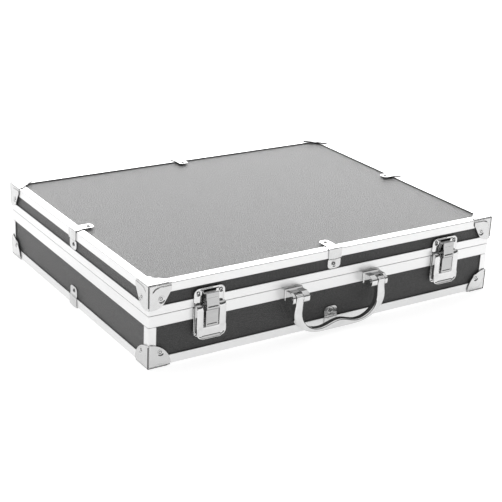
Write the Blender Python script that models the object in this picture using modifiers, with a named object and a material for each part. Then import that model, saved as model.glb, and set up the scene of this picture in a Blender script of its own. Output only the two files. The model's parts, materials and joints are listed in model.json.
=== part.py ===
"""Aluminium-framed hard case with a hinged lid, two toggle latches and a folding handle.

The case lies flat on its base. Its front, with the latches and the handle, faces -Y. The origin
is on the surface that the case rests on, under the centre of the shell. Lengths are in metres.
"""

from math import cos, pi, radians, sin, sqrt

import bmesh
import bpy
from mathutils import Matrix, Quaternion, Vector

# Overall sizes, measured over the corner caps.
CASE_WIDTH = 0.450
CASE_DEPTH = 0.350
BASE_HEIGHT = 0.058  # from the surface that the case rests on up to the parting line
LID_HEIGHT = 0.034  # from the parting line up to the tops of the lid's caps

GAP = 0.0003  # between pieces that touch
CAP_SHEET = 0.0012  # steel of the corner caps and edge clamps
CAP_PROUD = CAP_SHEET + GAP  # how far caps and clamps stand out of the aluminium

# The shell is everything inside the caps.
SHELL_WIDTH = CASE_WIDTH - 2 * CAP_PROUD
SHELL_DEPTH = CASE_DEPTH - 2 * CAP_PROUD
SHELL_BOTTOM = CAP_PROUD
SHELL_TOP = BASE_HEIGHT + LID_HEIGHT - CAP_PROUD

# Aluminium profiles and boards. A depth is measured inwards from the shell's outer face.
PROFILE_WALL = 0.001
EDGE_LEG = 0.010  # L-shaped edge profiles
POST_LEG = 0.009  # L-shaped profiles up the base's corners
BOARD = 0.0035
BOARD_DEPTH = PROFILE_WALL + GAP
BOARD_INNER = BOARD_DEPTH + BOARD
BASE_RIM_BAND = 0.0125
LID_RIM_BAND = 0.0095
RIM_CORNER = 0.002
RIM_INNER = BOARD_INNER + GAP + PROFILE_WALL  # inner face of the rims
RIM_HALF_GAP = 0.00015  # each rim stops this far from the parting line
GROOVE_DEPTH = 0.002
GROOVE_WIDTH = 0.0026
TONGUE_HEIGHT = 0.0016
TONGUE_WIDTH = 0.0014
GROOVE_CENTRE = BOARD_DEPTH + 0.6 * BOARD  # depth of the middle of the tongue and its groove

# Foam linings.
LINING_WALL = 0.005
LINING_FLOOR = 0.008
LID_FOAM = 0.014

# Corner caps and edge clamps.
CAP_REACH = 0.0265
CAP_CHORD = 0.0325  # the flat leg is cut off where its two distances from the corner add up to this
CAP_RIVET = 0.0150  # distance of a rivet from both edges of its leg
CLAMP_WIDTH = 0.0168
CLAMP_TIP_WIDTH = 0.012  # of the leg on the top or the bottom
CLAMP_FLAT = 0.0235  # leg on the top or the bottom
CLAMP_DROP = LID_HEIGHT - CAP_PROUD - LID_RIM_BAND - 2 * GAP  # leg down the side
CLAMP_RIVET = 0.005  # rivet's distance from the tip of its leg
RIVET_RADIUS = 0.0025
RIVET_HEIGHT = 0.0006
SEAT_RADIUS = 0.0038  # dished seats keep the heads on caps and clamps flush
ROUND = 20  # sides of a small round piece

# Toggle latches. Heights are from the parting line, and "out" is from the shell's front face.
LATCH_X = 0.155
LATCH_WIDTH = 0.036
LATCH_SHEET = 0.001
LATCH_CORNER = 0.006
KEEPER_HEIGHT = 0.0190
KEEPER_RIVET_UP = 0.0148
KEEPER_RIVET_X = 0.0131
PLATE_HEIGHT = 0.0325
LEVER_WIDTH = 0.034
LEVER_LENGTH = 0.034  # from the lever's pivot to its free end
LEVER_EYE = 0.0028  # radius of the lever's ends round its pivot
LEVER_CLEARANCE = 0.0005  # between those ends and the plates behind them
LEVER_PIVOT_UP = 0.0005
LEVER_PIVOT_OUT = GAP + LATCH_SHEET + LEVER_CLEARANCE + LEVER_EYE
LEVER_OUT = LEVER_PIVOT_OUT + 0.0019  # back of the lever's front sheet
LEVER_LIP = 0.0020
WINDOW_WIDTH = 0.0164
WINDOW_LENGTH = 0.0231  # from the lever's pivot to the window's closed end
DRAW_WIDTH = 0.0144
DRAW_SHEET = 0.0012
DRAW_PIVOT_UP = LEVER_PIVOT_UP - 0.0175
DRAW_PIVOT_OUT = LEVER_PIVOT_OUT - 0.0008
DRAW_KNUCKLE = 0.0017
DRAW_TAIL = 0.0036  # the draw plate's lower end, below its pivot
DRAW_FRONT = LEVER_OUT + 0.0030  # outer face of the draw plate
DRAW_TOP = 0.0130
LIP_UP = 0.0160
LIP_CLEARANCE = 0.0004  # between the draw plate's lip and the keeper
SLOT_HEIGHT = 0.0030
LATCH_PIN = 0.0010
PIN_CLEARANCE = 0.0003

# Handle and its two brackets.
BRACKET_X = 0.0515
BRACKET_WIDTH = 0.0225
BRACKET_EAR = 0.0063
BRACKET_TOP = -0.0019  # from the parting line
BRACKET_HEIGHT = 0.0126
BRACKET_WEB = 0.0050  # how far out the solid back of the bracket reaches
BRACKET_REACH = 0.0170  # how far out its ears reach
HANDLE_PIVOT_OUT = BRACKET_REACH - 0.0040
HANDLE_PIN = 0.0020
HANDLE_EYE = 0.0046
HANDLE_THICK = 0.0075  # front to back
HANDLE_SET_OUT = 0.0005  # the arms' middle is this much in front of the pivot
HANDLE_ARM_X = BRACKET_X + 0.0035  # middle of an arm below its bracket
HANDLE_ARM = 0.0104  # width of an arm there
HANDLE_LOW = 0.0055  # underside of the hanging grip, above the surface that the case rests on
BEND_WIDE = 0.038  # length along the grip of the curve that turns an arm into it
BEND_SHARE = 0.61  # height of that curve, as a share of the handle's drop
HANDLE_TAPER = 0.0020  # each arm leans inwards by this much before the bend
GRIP_THIN = 0.0050
GRIP_THICK = 0.0100
HUMP_HALF = 0.0250  # half the length of the grip's finger hump
HANDLE_ROUNDING = 0.0015

# Hinges on the back.
HINGE_X = 0.140
HINGE_WIDTH = 0.044
HINGE_LEAF = 0.020
HINGE_SHEET = 0.0012
HINGE_BARREL = 0.0029
HINGE_PIN = 0.00125
HINGE_AXIS_OUT = 0.0034
HINGE_MIDDLE = 0.0168  # length of the lid's knuckle
HINGE_SLACK = 0.0003  # end clearance between knuckles

SIDES = ("front", "right", "back", "left")
CORNERS = ("front_left", "front_right", "back_right", "back_left")


# ---------------------------------------------------------------- building blocks


def fresh_collection(name):
    """A new collection in the scene."""
    collection = bpy.data.collections.new(name)
    bpy.context.scene.collection.children.link(collection)
    return collection


def finish(name, colour, roughness, metallic):
    """A Principled material."""
    material = bpy.data.materials.new(name)
    material.use_nodes = True
    shader = material.node_tree.nodes["Principled BSDF"]
    shader.inputs["Base Color"].default_value = (*colour, 1)
    shader.inputs["Roughness"].default_value = roughness
    shader.inputs["Metallic"].default_value = metallic
    return material


def piece(name, mesh):
    """An object for a mesh, in the collection of parts."""
    obj = bpy.data.objects.new(name, mesh)
    PARTS.objects.link(obj)
    return obj


def block(name, low, high):
    """A box from its lowest corner to its highest."""
    low, high = Vector(low), Vector(high)
    mesh = bpy.data.meshes.new(name)
    bm = bmesh.new()
    scale = Matrix.Diagonal((*(high - low), 1))
    bmesh.ops.create_cube(bm, size=1, matrix=Matrix.Translation((low + high) / 2) @ scale)
    bm.to_mesh(mesh)
    bm.free()
    return piece(name, mesh)


def rod(name, radius, start, end, sides=ROUND):
    """A cylinder between two points."""
    start, end = Vector(start), Vector(end)
    along = end - start
    turn = along.to_track_quat("Z", "Y").to_matrix().to_4x4()
    mesh = bpy.data.meshes.new(name)
    bm = bmesh.new()
    bmesh.ops.create_cone(
        bm, cap_ends=True, segments=sides, radius1=radius, radius2=radius, depth=along.length,
        matrix=Matrix.Translation((start + end) / 2) @ turn,
    )
    bm.to_mesh(mesh)
    bm.free()
    return piece(name, mesh)


def rivet_head(centre, outwards):
    """A low, slightly conical rivet head that stands on a sheet at centre."""
    centre, outwards = Vector(centre), Vector(outwards).normalized()
    root = centre - outwards * RIVET_ROOT
    top = centre + outwards * RIVET_HEIGHT
    turn = outwards.to_track_quat("Z", "Y").to_matrix().to_4x4()
    mesh = bpy.data.meshes.new("rivet_head")
    bm = bmesh.new()
    bmesh.ops.create_cone(
        bm, cap_ends=True, segments=12, radius1=RIVET_RADIUS, radius2=0.7 * RIVET_RADIUS,
        depth=(top - root).length, matrix=Matrix.Translation((root + top) / 2) @ turn,
    )
    bm.to_mesh(mesh)
    bm.free()
    return piece("rivet_head", mesh)


def seat_rivets(obj, places):
    """Dishes a sheet at each (centre, outwards), and puts a rivet head in each dish."""
    seats, heads = [], []
    for centre, outwards in places:
        centre, outwards = Vector(centre), Vector(outwards)
        floor = centre - outwards * RIVET_HEIGHT
        seats.append(rod("seat", SEAT_RADIUS, floor, centre + outwards * RIVET_HEIGHT))
        heads.append(rivet_head(floor, outwards))
    return join(cut(obj, *seats), *heads)


def outline_sheet(name, outline, low, high):
    """A flat outline in X and Y, filled, from Z low to Z high."""
    curve = bpy.data.curves.new(name, "CURVE")
    curve.dimensions = "2D"
    curve.fill_mode = "BOTH"
    curve.extrude = (high - low) / 2
    spline = curve.splines.new("POLY")
    spline.points.add(len(outline) - 1)
    for point, (x, y) in zip(spline.points, outline):
        point.co = (x, y, 0, 1)
    spline.use_cyclic_u = True
    source = bpy.data.objects.new(name, curve)
    PARTS.objects.link(source)
    graph = bpy.context.evaluated_depsgraph_get()
    mesh = bpy.data.meshes.new_from_object(source.evaluated_get(graph))
    bpy.data.objects.remove(source)
    bm = bmesh.new()
    bm.from_mesh(mesh)
    bmesh.ops.remove_doubles(bm, verts=bm.verts, dist=1e-6)
    bmesh.ops.translate(bm, verts=bm.verts, vec=(0, 0, (high + low) / 2))
    bmesh.ops.recalc_face_normals(bm, faces=bm.faces)
    bm.to_mesh(mesh)
    bm.free()
    return piece(name, mesh)


def cross_sheet(name, outline, low, high):
    """A sheet whose outline is given as (outwards, up), and whose thickness runs along X.

    It is made for a side's frame, in which Y is up and Z is outwards.
    """
    sheet = outline_sheet(name, outline, low, high)
    sheet.data.transform(Matrix(((0, 0, 1, 0), (0, 1, 0, 0), (1, 0, 0, 0), (0, 0, 0, 1))))
    sheet.data.flip_normals()
    return sheet


def arc(centre, radius, start, end, steps):
    """Points on an arc, from the start angle to the end angle, in degrees."""
    angles = [radians(start + (end - start) * i / steps) for i in range(steps + 1)]
    return [(centre[0] + radius * cos(a), centre[1] + radius * sin(a)) for a in angles]


def bake(obj):
    """Replaces an object's mesh by what its modifiers make of it."""
    graph = bpy.context.evaluated_depsgraph_get()
    mesh = bpy.data.meshes.new_from_object(obj.evaluated_get(graph))
    obj.modifiers.clear()
    obj.data = mesh
    return obj


def combine(obj, others, operation):
    """Joins other objects to obj, or cuts them from it, and removes them."""
    for other in others:
        PARTS.objects.unlink(other)
        CUTTERS.objects.link(other)
        modifier = obj.modifiers.new(operation.lower(), "BOOLEAN")
        modifier.operation = operation
        modifier.object = other
        bake(obj)
        bpy.data.objects.remove(other)
    return obj


def join(obj, *others):
    """One solid of several that overlap."""
    return combine(obj, others, "UNION")


def cut(obj, *others):
    """obj without what the others cover."""
    return combine(obj, others, "DIFFERENCE")


def bevel(obj, width, segments, angle=40):
    """Rounds the edges that are sharper than an angle in degrees."""
    modifier = obj.modifiers.new("rounding", "BEVEL")
    modifier.width = width
    modifier.segments = segments
    modifier.limit_method = "ANGLE"
    modifier.angle_limit = radians(angle)
    return bake(obj)


def empty(name, location, rotation=(0, 0, 0)):
    """A frame that other pieces are placed in."""
    frame = bpy.data.objects.new(name, None)
    PARTS.objects.link(frame)
    frame.location = location
    frame.rotation_euler = rotation
    bpy.context.view_layer.update()
    return frame


def dress(obj, material, frame=None, location=(0, 0, 0), rotation=(0, 0, 0)):
    """Gives a finished piece its material and its place, in a frame if one is named."""
    obj.data.materials.clear()
    obj.data.materials.append(material)
    obj.data.shade_smooth()
    obj.data.set_sharp_from_angle(angle=radians(35))
    obj.parent = frame
    obj.location = location
    obj.rotation_euler = rotation
    return obj


def copy_of(obj, name):
    """Another object that shares a mesh."""
    return piece(name, obj.data)


def hang_on(axis, objects):
    """Parents pieces to an empty on their joint's axis, and leaves them where they are."""
    bpy.context.view_layer.update()
    for obj in objects:
        world = obj.matrix_world.copy()
        obj.parent = axis
        obj.matrix_parent_inverse = axis.matrix_world.inverted()
        obj.matrix_basis = world


# ---------------------------------------------------------------- frames


def side_frame(side):
    """A frame on a side of the shell at Z = 0: X along the side, Y up and Z outwards."""
    turn = SIDES.index(side) * pi / 2
    reach = SHELL_DEPTH / 2 if side in ("front", "back") else SHELL_WIDTH / 2
    outwards = Matrix.Rotation(turn, 3, "Z") @ Vector((0, -1, 0))
    return empty(side + "_side", outwards * reach, (pi / 2, 0, turn))


def corner_place(corner, height):
    """Where a corner of the shell is, and the turn that its pieces take, seen from above."""
    turn = CORNERS.index(corner) * pi / 2
    x = SHELL_WIDTH / 2 * (-1 if corner.endswith("left") else 1)
    y = SHELL_DEPTH / 2 * (-1 if corner.startswith("front") else 1)
    return (x, y, height), turn


def ring(name, depth_out, depth_in, low, high):
    """A rectangular ring round the shell, between two depths and two heights."""
    through = 2 * (high - low)
    x, y = SHELL_WIDTH / 2, SHELL_DEPTH / 2
    outer = block(name, (depth_out - x, depth_out - y, low), (x - depth_out, y - depth_out, high))
    hole = block(
        name + "_hole",
        (depth_in - x, depth_in - y, low - through),
        (x - depth_in, y - depth_in, high + through),
    )
    return cut(outer, hole)


def round_upright_edges(obj, radius):
    """Rounds the four outermost upright edges of a ring."""
    bm = bmesh.new()
    bm.from_mesh(obj.data)
    x, y = SHELL_WIDTH / 2, SHELL_DEPTH / 2
    corner_edges = [
        edge for edge in bm.edges
        if all(abs(abs(v.co.x) - x) < 1e-6 and abs(abs(v.co.y) - y) < 1e-6 for v in edge.verts)
    ]
    bmesh.ops.bevel(bm, geom=corner_edges, offset=radius, segments=3, affect="EDGES", profile=0.5)
    bm.to_mesh(obj.data)
    bm.free()
    return obj


# ---------------------------------------------------------------- shell


def make_wall(name, side, low, high):
    """A board between two heights, on one side of the shell."""
    inset = BOARD_DEPTH if side in ("front", "back") else BOARD_INNER + GAP
    half = (SHELL_WIDTH if side in ("front", "back") else SHELL_DEPTH) / 2 - inset
    wall = block(name, (-half, low, -BOARD_INNER), (half, high, -BOARD_DEPTH))
    return dress(wall, LAMINATE, FRAMES[side])


def make_edge(name, side, outer, inwards):
    """An L-shaped edge profile. outer is its flat face's height, and inwards is +1 on the base."""
    inset = 0 if side in ("front", "back") else EDGE_LEG + GAP
    half = (SHELL_WIDTH if side in ("front", "back") else SHELL_DEPTH) / 2 - inset
    lows = sorted((outer, outer + inwards * EDGE_LEG))
    flats = sorted((outer, outer + inwards * PROFILE_WALL))
    edge = block(name, (-half, lows[0], -PROFILE_WALL), (half, lows[1], 0))
    flat = block(name + "_flat", (-half, flats[0], -EDGE_LEG), (half, flats[1], -PROFILE_WALL / 2))
    return dress(join(edge, flat), ALUMINIUM, FRAMES[side])


def make_posts():
    """The L-shaped profiles up the four corners of the base."""
    low = SHELL_BOTTOM + EDGE_LEG + GAP
    high = BASE_HEIGHT - BASE_RIM_BAND - GAP
    pattern = block("post", (0, 0, low), (POST_LEG, PROFILE_WALL, high))
    leg = block("post_leg", (0, PROFILE_WALL / 2, low), (PROFILE_WALL, POST_LEG, high))
    join(pattern, leg)
    for corner in CORNERS:
        place, turn = corner_place(corner, 0)
        dress(copy_of(pattern, "base_post_" + corner), ALUMINIUM, None, place, (0, 0, turn))
    bpy.data.objects.remove(pattern)


def make_base_rim():
    """The frame round the base's mouth: a channel that grips the boards, with a groove on top."""
    top = BASE_HEIGHT - RIM_HALF_GAP
    bottom = BASE_HEIGHT - BASE_RIM_BAND
    rim = round_upright_edges(ring("base_rim", 0, RIM_INNER, bottom, top), RIM_CORNER)
    channel = ring("channel", PROFILE_WALL, BOARD_INNER + GAP, bottom - BOARD, BASE_BOARD_TOP + GAP)
    half = GROOVE_WIDTH / 2
    groove = ring(
        "groove", GROOVE_CENTRE - half, GROOVE_CENTRE + half, top - GROOVE_DEPTH, top + GROOVE_DEPTH
    )
    return dress(cut(rim, channel, groove), ALUMINIUM)


def make_lid_rim():
    """The frame round the lid's mouth: a channel for the boards, with a tongue underneath."""
    bottom = BASE_HEIGHT + RIM_HALF_GAP
    top = BASE_HEIGHT + LID_RIM_BAND
    rim = round_upright_edges(ring("lid_rim", 0, RIM_INNER, bottom, top), RIM_CORNER)
    channel = ring("channel", PROFILE_WALL, BOARD_INNER + GAP, LID_BOARD_BOTTOM - GAP, top + BOARD)
    half = TONGUE_WIDTH / 2
    tongue = ring(
        "tongue", GROOVE_CENTRE - half, GROOVE_CENTRE + half,
        BASE_HEIGHT - TONGUE_HEIGHT, bottom + LID_RIM_FLOOR / 2,
    )
    return dress(join(cut(rim, channel), tongue), ALUMINIUM)


def make_shell():
    """Boards, edge profiles, corner posts and rims. Returns the pieces that belong to the lid."""
    x, y = SHELL_WIDTH / 2 - BOARD_DEPTH, SHELL_DEPTH / 2 - BOARD_DEPTH
    floor = SHELL_BOTTOM + BOARD_DEPTH
    roof = SHELL_TOP - BOARD_DEPTH
    dress(block("base_bottom_panel", (-x, -y, floor), (x, y, floor + BOARD)), LAMINATE)
    lid = [dress(block("lid_top_panel", (-x, -y, roof - BOARD), (x, y, roof)), LAMINATE)]
    for side in SIDES:
        make_wall("base_wall_" + side, side, floor + BOARD + GAP, BASE_BOARD_TOP)
        make_edge("base_edge_" + side, side, SHELL_BOTTOM, 1)
        lid.append(make_wall("lid_wall_" + side, side, LID_BOARD_BOTTOM, roof - BOARD - GAP))
        lid.append(make_edge("lid_edge_" + side, side, SHELL_TOP, -1))
    make_posts()
    make_base_rim()
    lid.append(make_lid_rim())
    return lid


def make_linings():
    """The foam tray in the base and the foam pad in the lid. Returns the lid's."""
    depth = BOARD_INNER + GAP
    x, y = SHELL_WIDTH / 2 - depth, SHELL_DEPTH / 2 - depth
    floor = SHELL_BOTTOM + BOARD_DEPTH + BOARD + GAP
    top = BASE_HEIGHT - BASE_RIM_BAND - GAP
    tray = block("base_lining", (-x, -y, floor), (x, y, top))
    inner_x, inner_y = x - LINING_WALL, y - LINING_WALL
    hollow = block(
        "hollow", (-inner_x, -inner_y, floor + LINING_FLOOR), (inner_x, inner_y, top + LINING_FLOOR)
    )
    dress(cut(tray, hollow), FOAM)
    roof = SHELL_TOP - BOARD_DEPTH - BOARD - GAP
    x, y = x - RIM_CLEARANCE, y - RIM_CLEARANCE
    pad = block("lid_lining", (-x, -y, roof - LID_FOAM), (x, y, roof))
    return [dress(pad, FOAM)]


# ---------------------------------------------------------------- caps and clamps


def cap_pattern():
    """A corner cap: three legs of sheet round a corner at the origin, towards +X, +Y and -Z."""
    cap = block("cap", (-CAP_PROUD, -CAP_PROUD, -CAP_REACH), (CAP_REACH, CAP_REACH, CAP_PROUD))
    inside = block("inside", (-GAP, -GAP, -2 * CAP_REACH), (2 * CAP_REACH, 2 * CAP_REACH, GAP))
    cut(cap, inside)
    mesh = bpy.data.meshes.new("ball")
    bm = bmesh.new()
    bmesh.ops.create_uvsphere(bm, u_segments=48, v_segments=24, radius=CAP_REACH)
    bm.to_mesh(mesh)
    bm.free()
    combine(cap, [piece("ball", mesh)], "INTERSECT")
    far = CAP_CHORD / sqrt(2)
    beyond = block("beyond", (far, -CAP_REACH, -CAP_PROUD), (2 * far, CAP_REACH, 2 * CAP_PROUD))
    beyond.data.transform(Matrix.Rotation(pi / 4, 4, "Z"))
    cut(cap, beyond)
    flat_rivet = 0.82 * CAP_RIVET
    places = [
        ((flat_rivet, flat_rivet, CAP_PROUD), (0, 0, 1)),
        ((CAP_RIVET, -CAP_PROUD, -CAP_RIVET), (0, -1, 0)),
        ((-CAP_PROUD, CAP_RIVET, -CAP_RIVET), (-1, 0, 0)),
    ]
    return seat_rivets(cap, places)


def make_caps():
    """Eight corner caps that share one mesh. Returns the lid's."""
    pattern = cap_pattern()
    upside_down = Quaternion((1, 1, 0), pi)
    lid = []
    for corner in CORNERS:
        place, turn = corner_place(corner, SHELL_TOP)
        lid.append(dress(copy_of(pattern, "lid_cap_" + corner), STEEL, None, place, (0, 0, turn)))
        place, turn = corner_place(corner, SHELL_BOTTOM)
        facing = (Quaternion((0, 0, 1), turn) @ upside_down).to_euler()
        dress(copy_of(pattern, "base_cap_" + corner), STEEL, None, place, facing)
    bpy.data.objects.remove(pattern)
    return lid


def clamp_pattern():
    """A strap over an edge at the origin: one leg towards -Z at Y 0, the other towards -Y at Z 0.

    The side leg is stepped inwards past the edge profile, to lie on the board.
    """
    step = EDGE_LEG + CAP_SHEET
    outer = CAP_PROUD
    inner = outer - BOARD_DEPTH
    outline = [
        (outer, outer),
        (outer, -step),
        (inner, -step - BOARD_DEPTH),
        (inner, -CLAMP_DROP),
        (inner - CAP_SHEET, -CLAMP_DROP),
        (inner - CAP_SHEET, -step - BOARD_DEPTH - GAP),
        (outer - CAP_SHEET, -step - GAP),
        (outer - CAP_SHEET, outer - CAP_SHEET),
        (-CLAMP_FLAT, outer - CAP_SHEET),
        (-CLAMP_FLAT, outer),
    ]
    strap = cross_sheet("clamp", outline, -CLAMP_WIDTH / 2, CLAMP_WIDTH / 2)
    narrow = CLAMP_TIP_WIDTH / CLAMP_WIDTH
    for vertex in strap.data.vertices:
        if vertex.co.z < -CLAMP_FLAT / 2:
            vertex.co.x *= narrow
    places = [
        ((0, outer, CLAMP_RIVET - CLAMP_FLAT), (0, 1, 0)),
        ((0, CLAMP_RIVET - CLAMP_DROP, inner), (0, 0, 1)),
    ]
    return seat_rivets(strap, places)


def make_clamps():
    """A clamp in the middle of each long edge, in the lid and in the base. Returns the lid's."""
    pattern = clamp_pattern()
    lid = []
    for side in SIDES:
        clamp = copy_of(pattern, "lid_clamp_" + side)
        lid.append(dress(clamp, STEEL, FRAMES[side], (0, SHELL_TOP, 0)))
        clamp = copy_of(pattern, "base_clamp_" + side)
        dress(clamp, STEEL, FRAMES[side], (0, SHELL_BOTTOM, 0), (0, 0, pi))
    bpy.data.objects.remove(pattern)
    return lid


# ---------------------------------------------------------------- latches


def rounded_plate(name, half, low, high, corner, round_top):
    """A plate in X and Y with two rounded corners, at its top or at its bottom."""
    if round_top:
        outline = [(-half, low), (half, low)]
        outline += arc((half - corner, high - corner), corner, 0, 90, 5)
        outline += arc((corner - half, high - corner), corner, 90, 180, 5)
    else:
        outline = [(half, high), (-half, high)]
        outline += arc((corner - half, low + corner), corner, 180, 270, 5)
        outline += arc((half - corner, low + corner), corner, 270, 360, 5)
    return outline_sheet(name, outline, GAP, GAP + LATCH_SHEET)


def make_keeper(name, x):
    """The lid's half of a latch: a riveted plate with a slot for the draw plate's lip."""
    low = RIM_HALF_GAP + GAP
    plate = rounded_plate(name, LATCH_WIDTH / 2, low, low + KEEPER_HEIGHT, LATCH_CORNER, True)
    half = DRAW_WIDTH / 2 + GAP
    slot = block(
        "slot",
        (-half, LIP_UP - SLOT_HEIGHT / 2, -LATCH_SHEET),
        (half, LIP_UP + SLOT_HEIGHT / 2, 3 * LATCH_SHEET),
    )
    cut(plate, slot)
    front = GAP + LATCH_SHEET
    rivets = [
        rivet_head((side * KEEPER_RIVET_X, KEEPER_RIVET_UP, front), (0, 0, 1)) for side in (-1, 1)
    ]
    return dress(join(plate, *rivets), CHROME, FRAMES["front"], (x, BASE_HEIGHT, 0))


def make_latch_plate(name, x):
    """The base's half of a latch: a plate with two ears that carry the lever's pivot pins."""
    top = -RIM_HALF_GAP - GAP
    plate = rounded_plate(name, LATCH_WIDTH / 2, top - PLATE_HEIGHT, top, LATCH_CORNER, False)
    ear_radius = LATCH_PIN + LATCH_SHEET / 2
    ear_inner = LEVER_WIDTH / 2 - 2 * DRAW_SHEET - PIN_CLEARANCE - DRAW_SHEET
    ear_outer = ear_inner + DRAW_SHEET
    pin_end = LEVER_WIDTH / 2 - PIN_CLEARANCE
    pieces = []
    root = GAP + LATCH_SHEET / 2
    ear = [(root, top - 2 * LEVER_EYE), (root, top - LEVER_EYE / 2)]
    ear += [(LEVER_PIVOT_OUT - ear_radius, top - LEVER_EYE / 2)]
    ear += arc((LEVER_PIVOT_OUT, LEVER_PIVOT_UP), ear_radius, 180, 0, 8)
    ear += [(LEVER_PIVOT_OUT + ear_radius, top - LEVER_EYE / 2)]
    for side in (-1, 1):
        pieces.append(cross_sheet("ear", ear, *sorted((side * ear_inner, side * ear_outer))))
        a, b = sorted((side * (ear_inner + DRAW_SHEET / 2), side * pin_end))
        centre = (LEVER_PIVOT_UP, LEVER_PIVOT_OUT)
        pieces.append(rod("pin", LATCH_PIN, (a, *centre), (b, *centre)))
    return dress(join(plate, *pieces), STEEL, FRAMES["front"], (x, BASE_HEIGHT, 0))


def make_lever(name, x):
    """The lever: a U-shaped sheet with flanges, its origin on its pivot. Y 0 is the pivot."""
    half, slot = LEVER_WIDTH / 2, WINDOW_WIDTH / 2
    back = LEVER_OUT - LEVER_PIVOT_OUT
    front = back + LATCH_SHEET
    top = sqrt(LEVER_EYE**2 - back**2)
    outline = [(-slot, top), (-half, top)]
    outline += arc((LATCH_CORNER - half, LATCH_CORNER - LEVER_LENGTH), LATCH_CORNER, 180, 270, 5)
    outline += arc((half - LATCH_CORNER, LATCH_CORNER - LEVER_LENGTH), LATCH_CORNER, 270, 360, 5)
    outline += [(half, top), (slot, top), (slot, -WINDOW_LENGTH), (-slot, -WINDOW_LENGTH)]
    lever = outline_sheet(name, outline, back, front)
    inner = -LEVER_EYE
    pieces = [
        block(
            "lip",
            (LATCH_CORNER - half, -LEVER_LENGTH, back + LATCH_SHEET / 2),
            (half - LATCH_CORNER, LATCH_SHEET - LEVER_LENGTH, front + LEVER_LIP),
        )
    ]
    buried = back + LATCH_SHEET / 2
    flange = [(buried, LATCH_CORNER - LEVER_LENGTH), (buried, 0)]
    flange += arc((0, 0), LEVER_EYE, 30, 180, 8)
    flange += [(inner, LATCH_CORNER - LEVER_LENGTH)]
    for side in (-1, 1):
        edge = half - GAP / 2
        pieces.append(cross_sheet("flange", flange, *sorted((side * edge, side * (edge - DRAW_SHEET)))))
        a, b = sorted((side * (slot + GAP / 2), side * (slot + LATCH_SHEET)))
        web = block("web", (a, GAP - WINDOW_LENGTH, inner), (b, -LEVER_EYE / 2, buried))
        pieces.append(web)
    join(lever, *pieces)
    draw_y, draw_z = DRAW_PIVOT_UP - LEVER_PIVOT_UP, DRAW_PIVOT_OUT - LEVER_PIVOT_OUT
    hole = LATCH_PIN + PIN_CLEARANCE
    far = slot + 3 * LATCH_SHEET
    cutters = [rod("pivot_hole", hole, (-half * 2, 0, 0), (half * 2, 0, 0))]
    for side in (-1, 1):
        a, b = sorted((side * far, side * slot / 2))
        cutters.append(rod("draw_hole", hole, (a, draw_y, draw_z), (b, draw_y, draw_z)))
    cut(lever, *cutters)
    place = (x, BASE_HEIGHT + LEVER_PIVOT_UP, LEVER_PIVOT_OUT)
    return dress(lever, CHROME, FRAMES["front"], place)


def make_draw_plate(name, x):
    """The bent strip that hooks the lid down, its origin on its pivot pin in the lever."""
    t = DRAW_SHEET
    front = DRAW_FRONT - DRAW_PIVOT_OUT
    low_front = LEVER_OUT + LATCH_SHEET + t / 4 - DRAW_PIVOT_OUT
    step = LEVER_PIVOT_UP - 0.0022 - DRAW_PIVOT_UP
    top = DRAW_TOP - DRAW_PIVOT_UP
    lip_up = LIP_UP - DRAW_PIVOT_UP
    lip_out = GAP + LATCH_SHEET + LIP_CLEARANCE - DRAW_PIVOT_OUT
    # Out and up, from the knuckle round the front to the lip, then back along the inside.
    outline = [
        (0, -DRAW_KNUCKLE / 2),
        (low_front - t, -DRAW_KNUCKLE / 2),
        (low_front - t, t / 2 - DRAW_TAIL),
        (low_front - t / 2, -DRAW_TAIL),
        (low_front, t / 2 - DRAW_TAIL),
        (front - t / 3, step - t / 2),
        (front - t, step),
        (front - t, step + t / 2),
        (front, step + t),
        (front, top - t),
        (front - t, top),
        (lip_out, lip_up + t / 2),
        (lip_out, lip_up - t / 2),
        (front - t * 1.4, top - t * 1.2),
        (front - t, top - 1.8 * t),
        (front - t, step + 1.8 * t),
        (front - 2 * t, step + t),
        (front - 2 * t, step - t),
        (low_front - t, DRAW_KNUCKLE / 2),
        (0, DRAW_KNUCKLE / 2),
    ]
    strip = cross_sheet(name, outline, -DRAW_WIDTH / 2, DRAW_WIDTH / 2)
    knuckle_half = DRAW_WIDTH / 2 - GAP / 2
    knuckle = rod("knuckle", DRAW_KNUCKLE, (-knuckle_half, 0, 0), (knuckle_half, 0, 0))
    pin_half = WINDOW_WIDTH / 2 + LATCH_SHEET + GAP
    pin = rod("pin", LATCH_PIN, (-pin_half, 0, 0), (pin_half, 0, 0))
    place = (x, BASE_HEIGHT + DRAW_PIVOT_UP, DRAW_PIVOT_OUT)
    return dress(join(strip, knuckle, pin), CHROME, FRAMES["front"], place)


def make_latches():
    """Both latches. Returns the pieces that belong to the lid."""
    keepers = []
    for name, x in (("left", -LATCH_X), ("right", LATCH_X)):
        keepers.append(make_keeper("latch_keeper_" + name, x))
        make_latch_plate("latch_plate_" + name, x)
        make_lever("latch_lever_" + name, x)
        make_draw_plate("latch_draw_plate_" + name, x)
    return keepers


# ---------------------------------------------------------------- handle


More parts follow.
